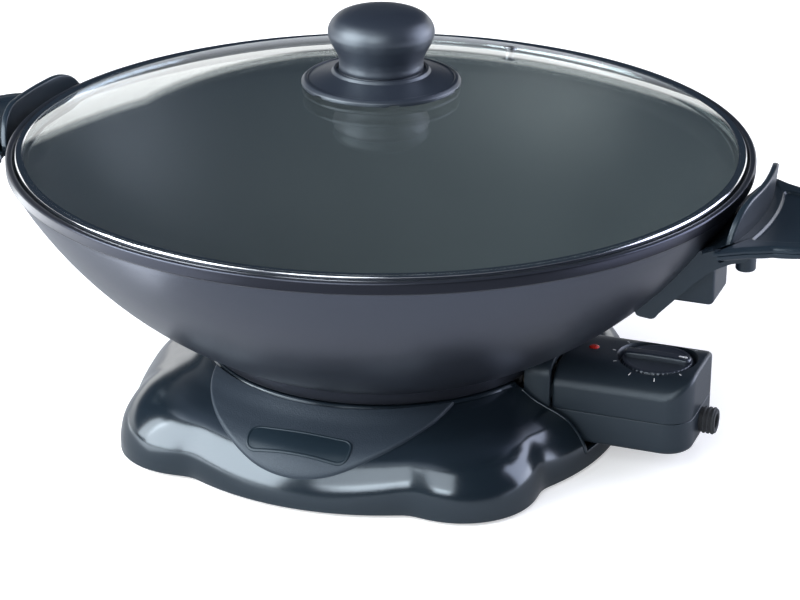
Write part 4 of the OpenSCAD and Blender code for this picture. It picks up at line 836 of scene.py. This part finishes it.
def shroud():
    """Shroud on the bowl: a rounded section carried along x, closed at the bowl's end but for the bores of the pins and
    the probe, its top cut to the bowl's wall; two ears with screw holes reach under the bowl."""
    def ring(half, z0, z1, r):
        corners = [(-half, z0, r * .3), (half, z0, r * .3), (half, z1, r), (-half, z1, r)]
        return evenly(softened(corners, .25, True), 320)
    outer, inner = lambda k: ring(31 - k, 11.5 + k, 54 - k, 8), lambda k: ring(28 - k, 14.5 + k, 51 - k, 5.5)
    mid, near = np.array([0.0, 33.0]), np.linspace(0, 1, 6)
    rows = [(mid + (outer(.5) - mid) * k, 88.0) for k in near[:-1]]
    rows += [(outer(k), x) for k, x in ((.5, 88.0), (.15, 88.15), (0, 88.5), (0, 92), (0, 96), (0, 100.9),
                                        (.18, 101.35), (.6, 101.5))]
    rows += [(inner(k), x) for k, x in ((-.6, 101.5), (-.18, 101.35), (0, 100.9), (0, 97), (0, 92), (0, 91))]
    rows += [(mid + (inner(0) - mid) * k, 91.0) for k in near[::-1][1:]]
    dome = turned("dome", [(0, 240), (0, 26.85), *wall(6, 150, -.08, 80)], 240, False)
    bores = [rod(5.25, (80, y, PIN_Z), (95, y, PIN_Z)) for y in PINS] + [rod(4.65, (80, 0, PROBE_Z), (95, 0, PROBE_Z))]
    parts = [cut(grid_piece("lead_shroud", stacked(rows)[..., [2, 0, 1]]), dome, *bores)]
    for ear in EARS:
        hub = (79.5, ear)
        loop = outline(lambda x, y: melted(11 - np.abs(x - hub[0]), 5 - np.abs(y - ear), 3), hub, 120, 20)
        body = grid_piece("ear", slab(loop, hub, flat(32.0), flat(34.95), .4, .4, 4))
        parts.append(cut(body, rod(1.8, (EAR_X, ear, 20), (EAR_X, ear, 50))))
    return merged("lead_shroud", *parts)

give(shroud(), "bowl", "plain_black", PLAIN, "connector_shroud")

def dial():
    """Dial: a low fluted disc with a rounded finger bar across it and a stem below."""
    prof = softened([(0, -10), (3, -10, .3), (3, 0), (18.2, 0, .3), (18.4, .9, .3), (17.5, 3.3, .7), (15.6, 3.4, .4),
                     (15.2, 3.2, .2), (0, 3.2)], .12)
    az = around(540)
    flute = 0.22 * np.cos(az * 45)[:, None] * np.clip((prof[:, 0] - 17) / 1.0, 0, 1)
    disc = grid_piece("disc", swept(prof, az, flute - 0.1) + DIAL)
    bar = lambda x, y: melted(17.2 - np.hypot(x, y), 3.2 + 0.5 * (np.abs(x) / 17.2) ** 2 - np.abs(y), 3)
    loop = outline(bar, (0.0, 0.0), 320, 20)
    spine = np.stack([np.clip(loop[:, 0], -14, 14), np.zeros(len(loop))], -1)
    top = lambda p: 6.4 - 0.5 * (np.abs(p[:, 0]) / 17.2) ** 3
    return merged("dial_body", disc, grid_piece("bar", slab(loop, spine, flat(2.6), top, .2, 1.3, 6) + DIAL))

give(dial(), "dial", "knob_black", KNOB, "dial_knob")

def pointer():
    """Inlaid pointer line on the finger bar: a small slab with rounded ends."""
    hub = (13.0, 0.0)
    loop = outline(lambda x, y: melted(2.4 - np.abs(x - hub[0]), 0.7 - np.abs(y), 1.2), hub, 120, 5)
    return grid_piece("dial_mark", slab(loop, hub, flat(5.7), flat(6.38), .05, .12, 4) + DIAL)

give(pointer(), "dial", "pointer_white", WHITE, "dial_pointer")

def dial_scale():
    """Nine ticks round the dish beside the dial, as thin raised print on the housing's crown."""
    hub, parts = (22.4, 0.0), []
    loop = outline(lambda x, y: melted(0.9 - np.abs(x - hub[0]), 0.22 - np.abs(y), .2), hub, 40, 3)
    tick = slab(loop, hub, flat(0.0), flat(0.12), .02, .04, 3)
    for a in np.radians(np.linspace(45, 315, 9)):
        g = tick @ np.array([[np.cos(a), np.sin(a), 0], [-np.sin(a), np.cos(a), 0], [0, 0, 1]]) + [*DIAL[:2], -0.05]
        g[..., 2] += crown(g[..., 1])
        parts.append(grid_piece("tick", g))
    return merged("dial_ticks", *parts)

give(dial_scale(), "control", "pointer_white", WHITE)

# ---------------------------------------------------------------- studio
def lamp(name, az, el, away, size, radiance, tone=(1, 1, 1), mirrored=True):
    """Soft box at an azimuth, elevation (degrees) and distance from the object, as bright a surface as its radiance
    says; mirrored ones show in gloss."""
    a, e = np.radians([az, el])
    aim = Vector((0, 0, 0.09))
    light = bpy.data.objects.new(name, bpy.data.lights.new(name, "AREA"))
    light.data.shape, light.data.size, light.data.size_y = "RECTANGLE", size[0], size[1]
    light.data.energy, light.data.color = radiance * np.pi * size[0] * size[1], tone
    light.location = aim + away * Vector((np.cos(e) * np.cos(a), np.cos(e) * np.sin(a), np.sin(e)))
    light.rotation_euler = (aim - light.location).to_track_quat("-Z", "Y").to_euler()
    light.visible_glossy = mirrored
    scene.collection.objects.link(light)
    return light

def table_glow(name, place, size, radiance, tone):
    """Lit patch of the table top as gloss and the undersides see it: a low soft box lying face up, unseen by the
    camera."""
    light = lamp(name, 0, 90, 1.0, size, radiance, tone)
    light.location, light.rotation_euler = (*place, 0.003), (np.pi, 0, 0)
    light.visible_camera = False

COOL, LAVENDER = (0.95, 0.98, 1.0), (0.80, 0.82, 1.0)
lamp("key left", -133, 24, 1.6, (1.15, 1.45), 9.5, COOL)
lamp("left rim box", -160, 22, 1.7, (0.50, 1.1), 7.0, COOL)
lamp("near box", -86, 34, 1.9, (0.85, 1.3), 4.6, COOL)
lamp("low front box", -86, 14, 1.8, (0.55, 0.32), 9.0, COOL)
lamp("right rear box", 34, 18, 1.8, (1.5, 1.4), 5.0, LAVENDER)
lamp("ceiling", 60, 72, 1.9, (1.5, 1.1), 1.8, mirrored=False)
table_glow("table left", (-0.85, -0.45), (0.9, 1.1), 5.2, COOL)
table_glow("table near left", (-0.30, -0.36), (0.34, 0.42), 3.2, COOL)
table_glow("table right", (0.85, 0.30), (0.7, 1.0), 3.6, LAVENDER)

FAR = 6000
floor = mesh_piece("floor", [(-FAR, -FAR, 0), (FAR, -FAR, 0), (FAR, FAR, 0), (-FAR, FAR, 0)], [[0, 1, 2, 3]])
f = Finish("pale floor", Roughness=0.85, Specular_IOR_Level=0.1, Emission_Color=(1.0, 1.0, 1.0))
camera_ray, seen = f.seen()
f.set(Base_Color=f.mix(seen * (1 - camera_ray), (0.84, 0.845, 0.85), (0.42, 0.43, 0.45)),
      Emission_Strength=0.34 * camera_ray + 0.06 * seen)
floor.data.materials.append(f.mat)

world = bpy.data.worlds.new("studio")
scene.world = world
world.use_nodes = True
world.cycles.sampling_method = "NONE"
room = Nodes(world.node_tree)
back = lambda colour, strength=1.0: room.node("ShaderNodeBackground", Color=colour, Strength=strength).outputs[0]
either = lambda fac, a, b: room.node("ShaderNodeMixShader", i0=fac, i1=a, i2=b).outputs[0]
way = room.node("ShaderNodeTexCoord").outputs["Generated"]
x, y, z = (room.val(a) for a in room.node("ShaderNodeSeparateXYZ", Vector=way).outputs)
level = (x * x + y * y) ** 0.5 + 0.0001
facing = (x * -0.276 + y * 0.961) / level
# a pale backdrop stands behind the object, low in the middle and higher to its sides; the rest of the room is dark
brow = 0.035 + 0.16 * ((0.990 - facing) / 0.034).clip()
white = (1 - (z / level).above(brow, 0.03)) * facing.above(0.25, 0.35)
camera_ray, seen = room.seen()
mirrored = either(white, back((0.030, 0.042, 0.060)), back((1, 1, 1), 1.75))
shown = either(camera_ray, either(seen, back((0.92, 0.95, 1.0), 0.40), mirrored), back((1, 1, 1)))
room.node("ShaderNodeOutputWorld", Surface=shown)

scene.view_settings.view_transform = "Standard"
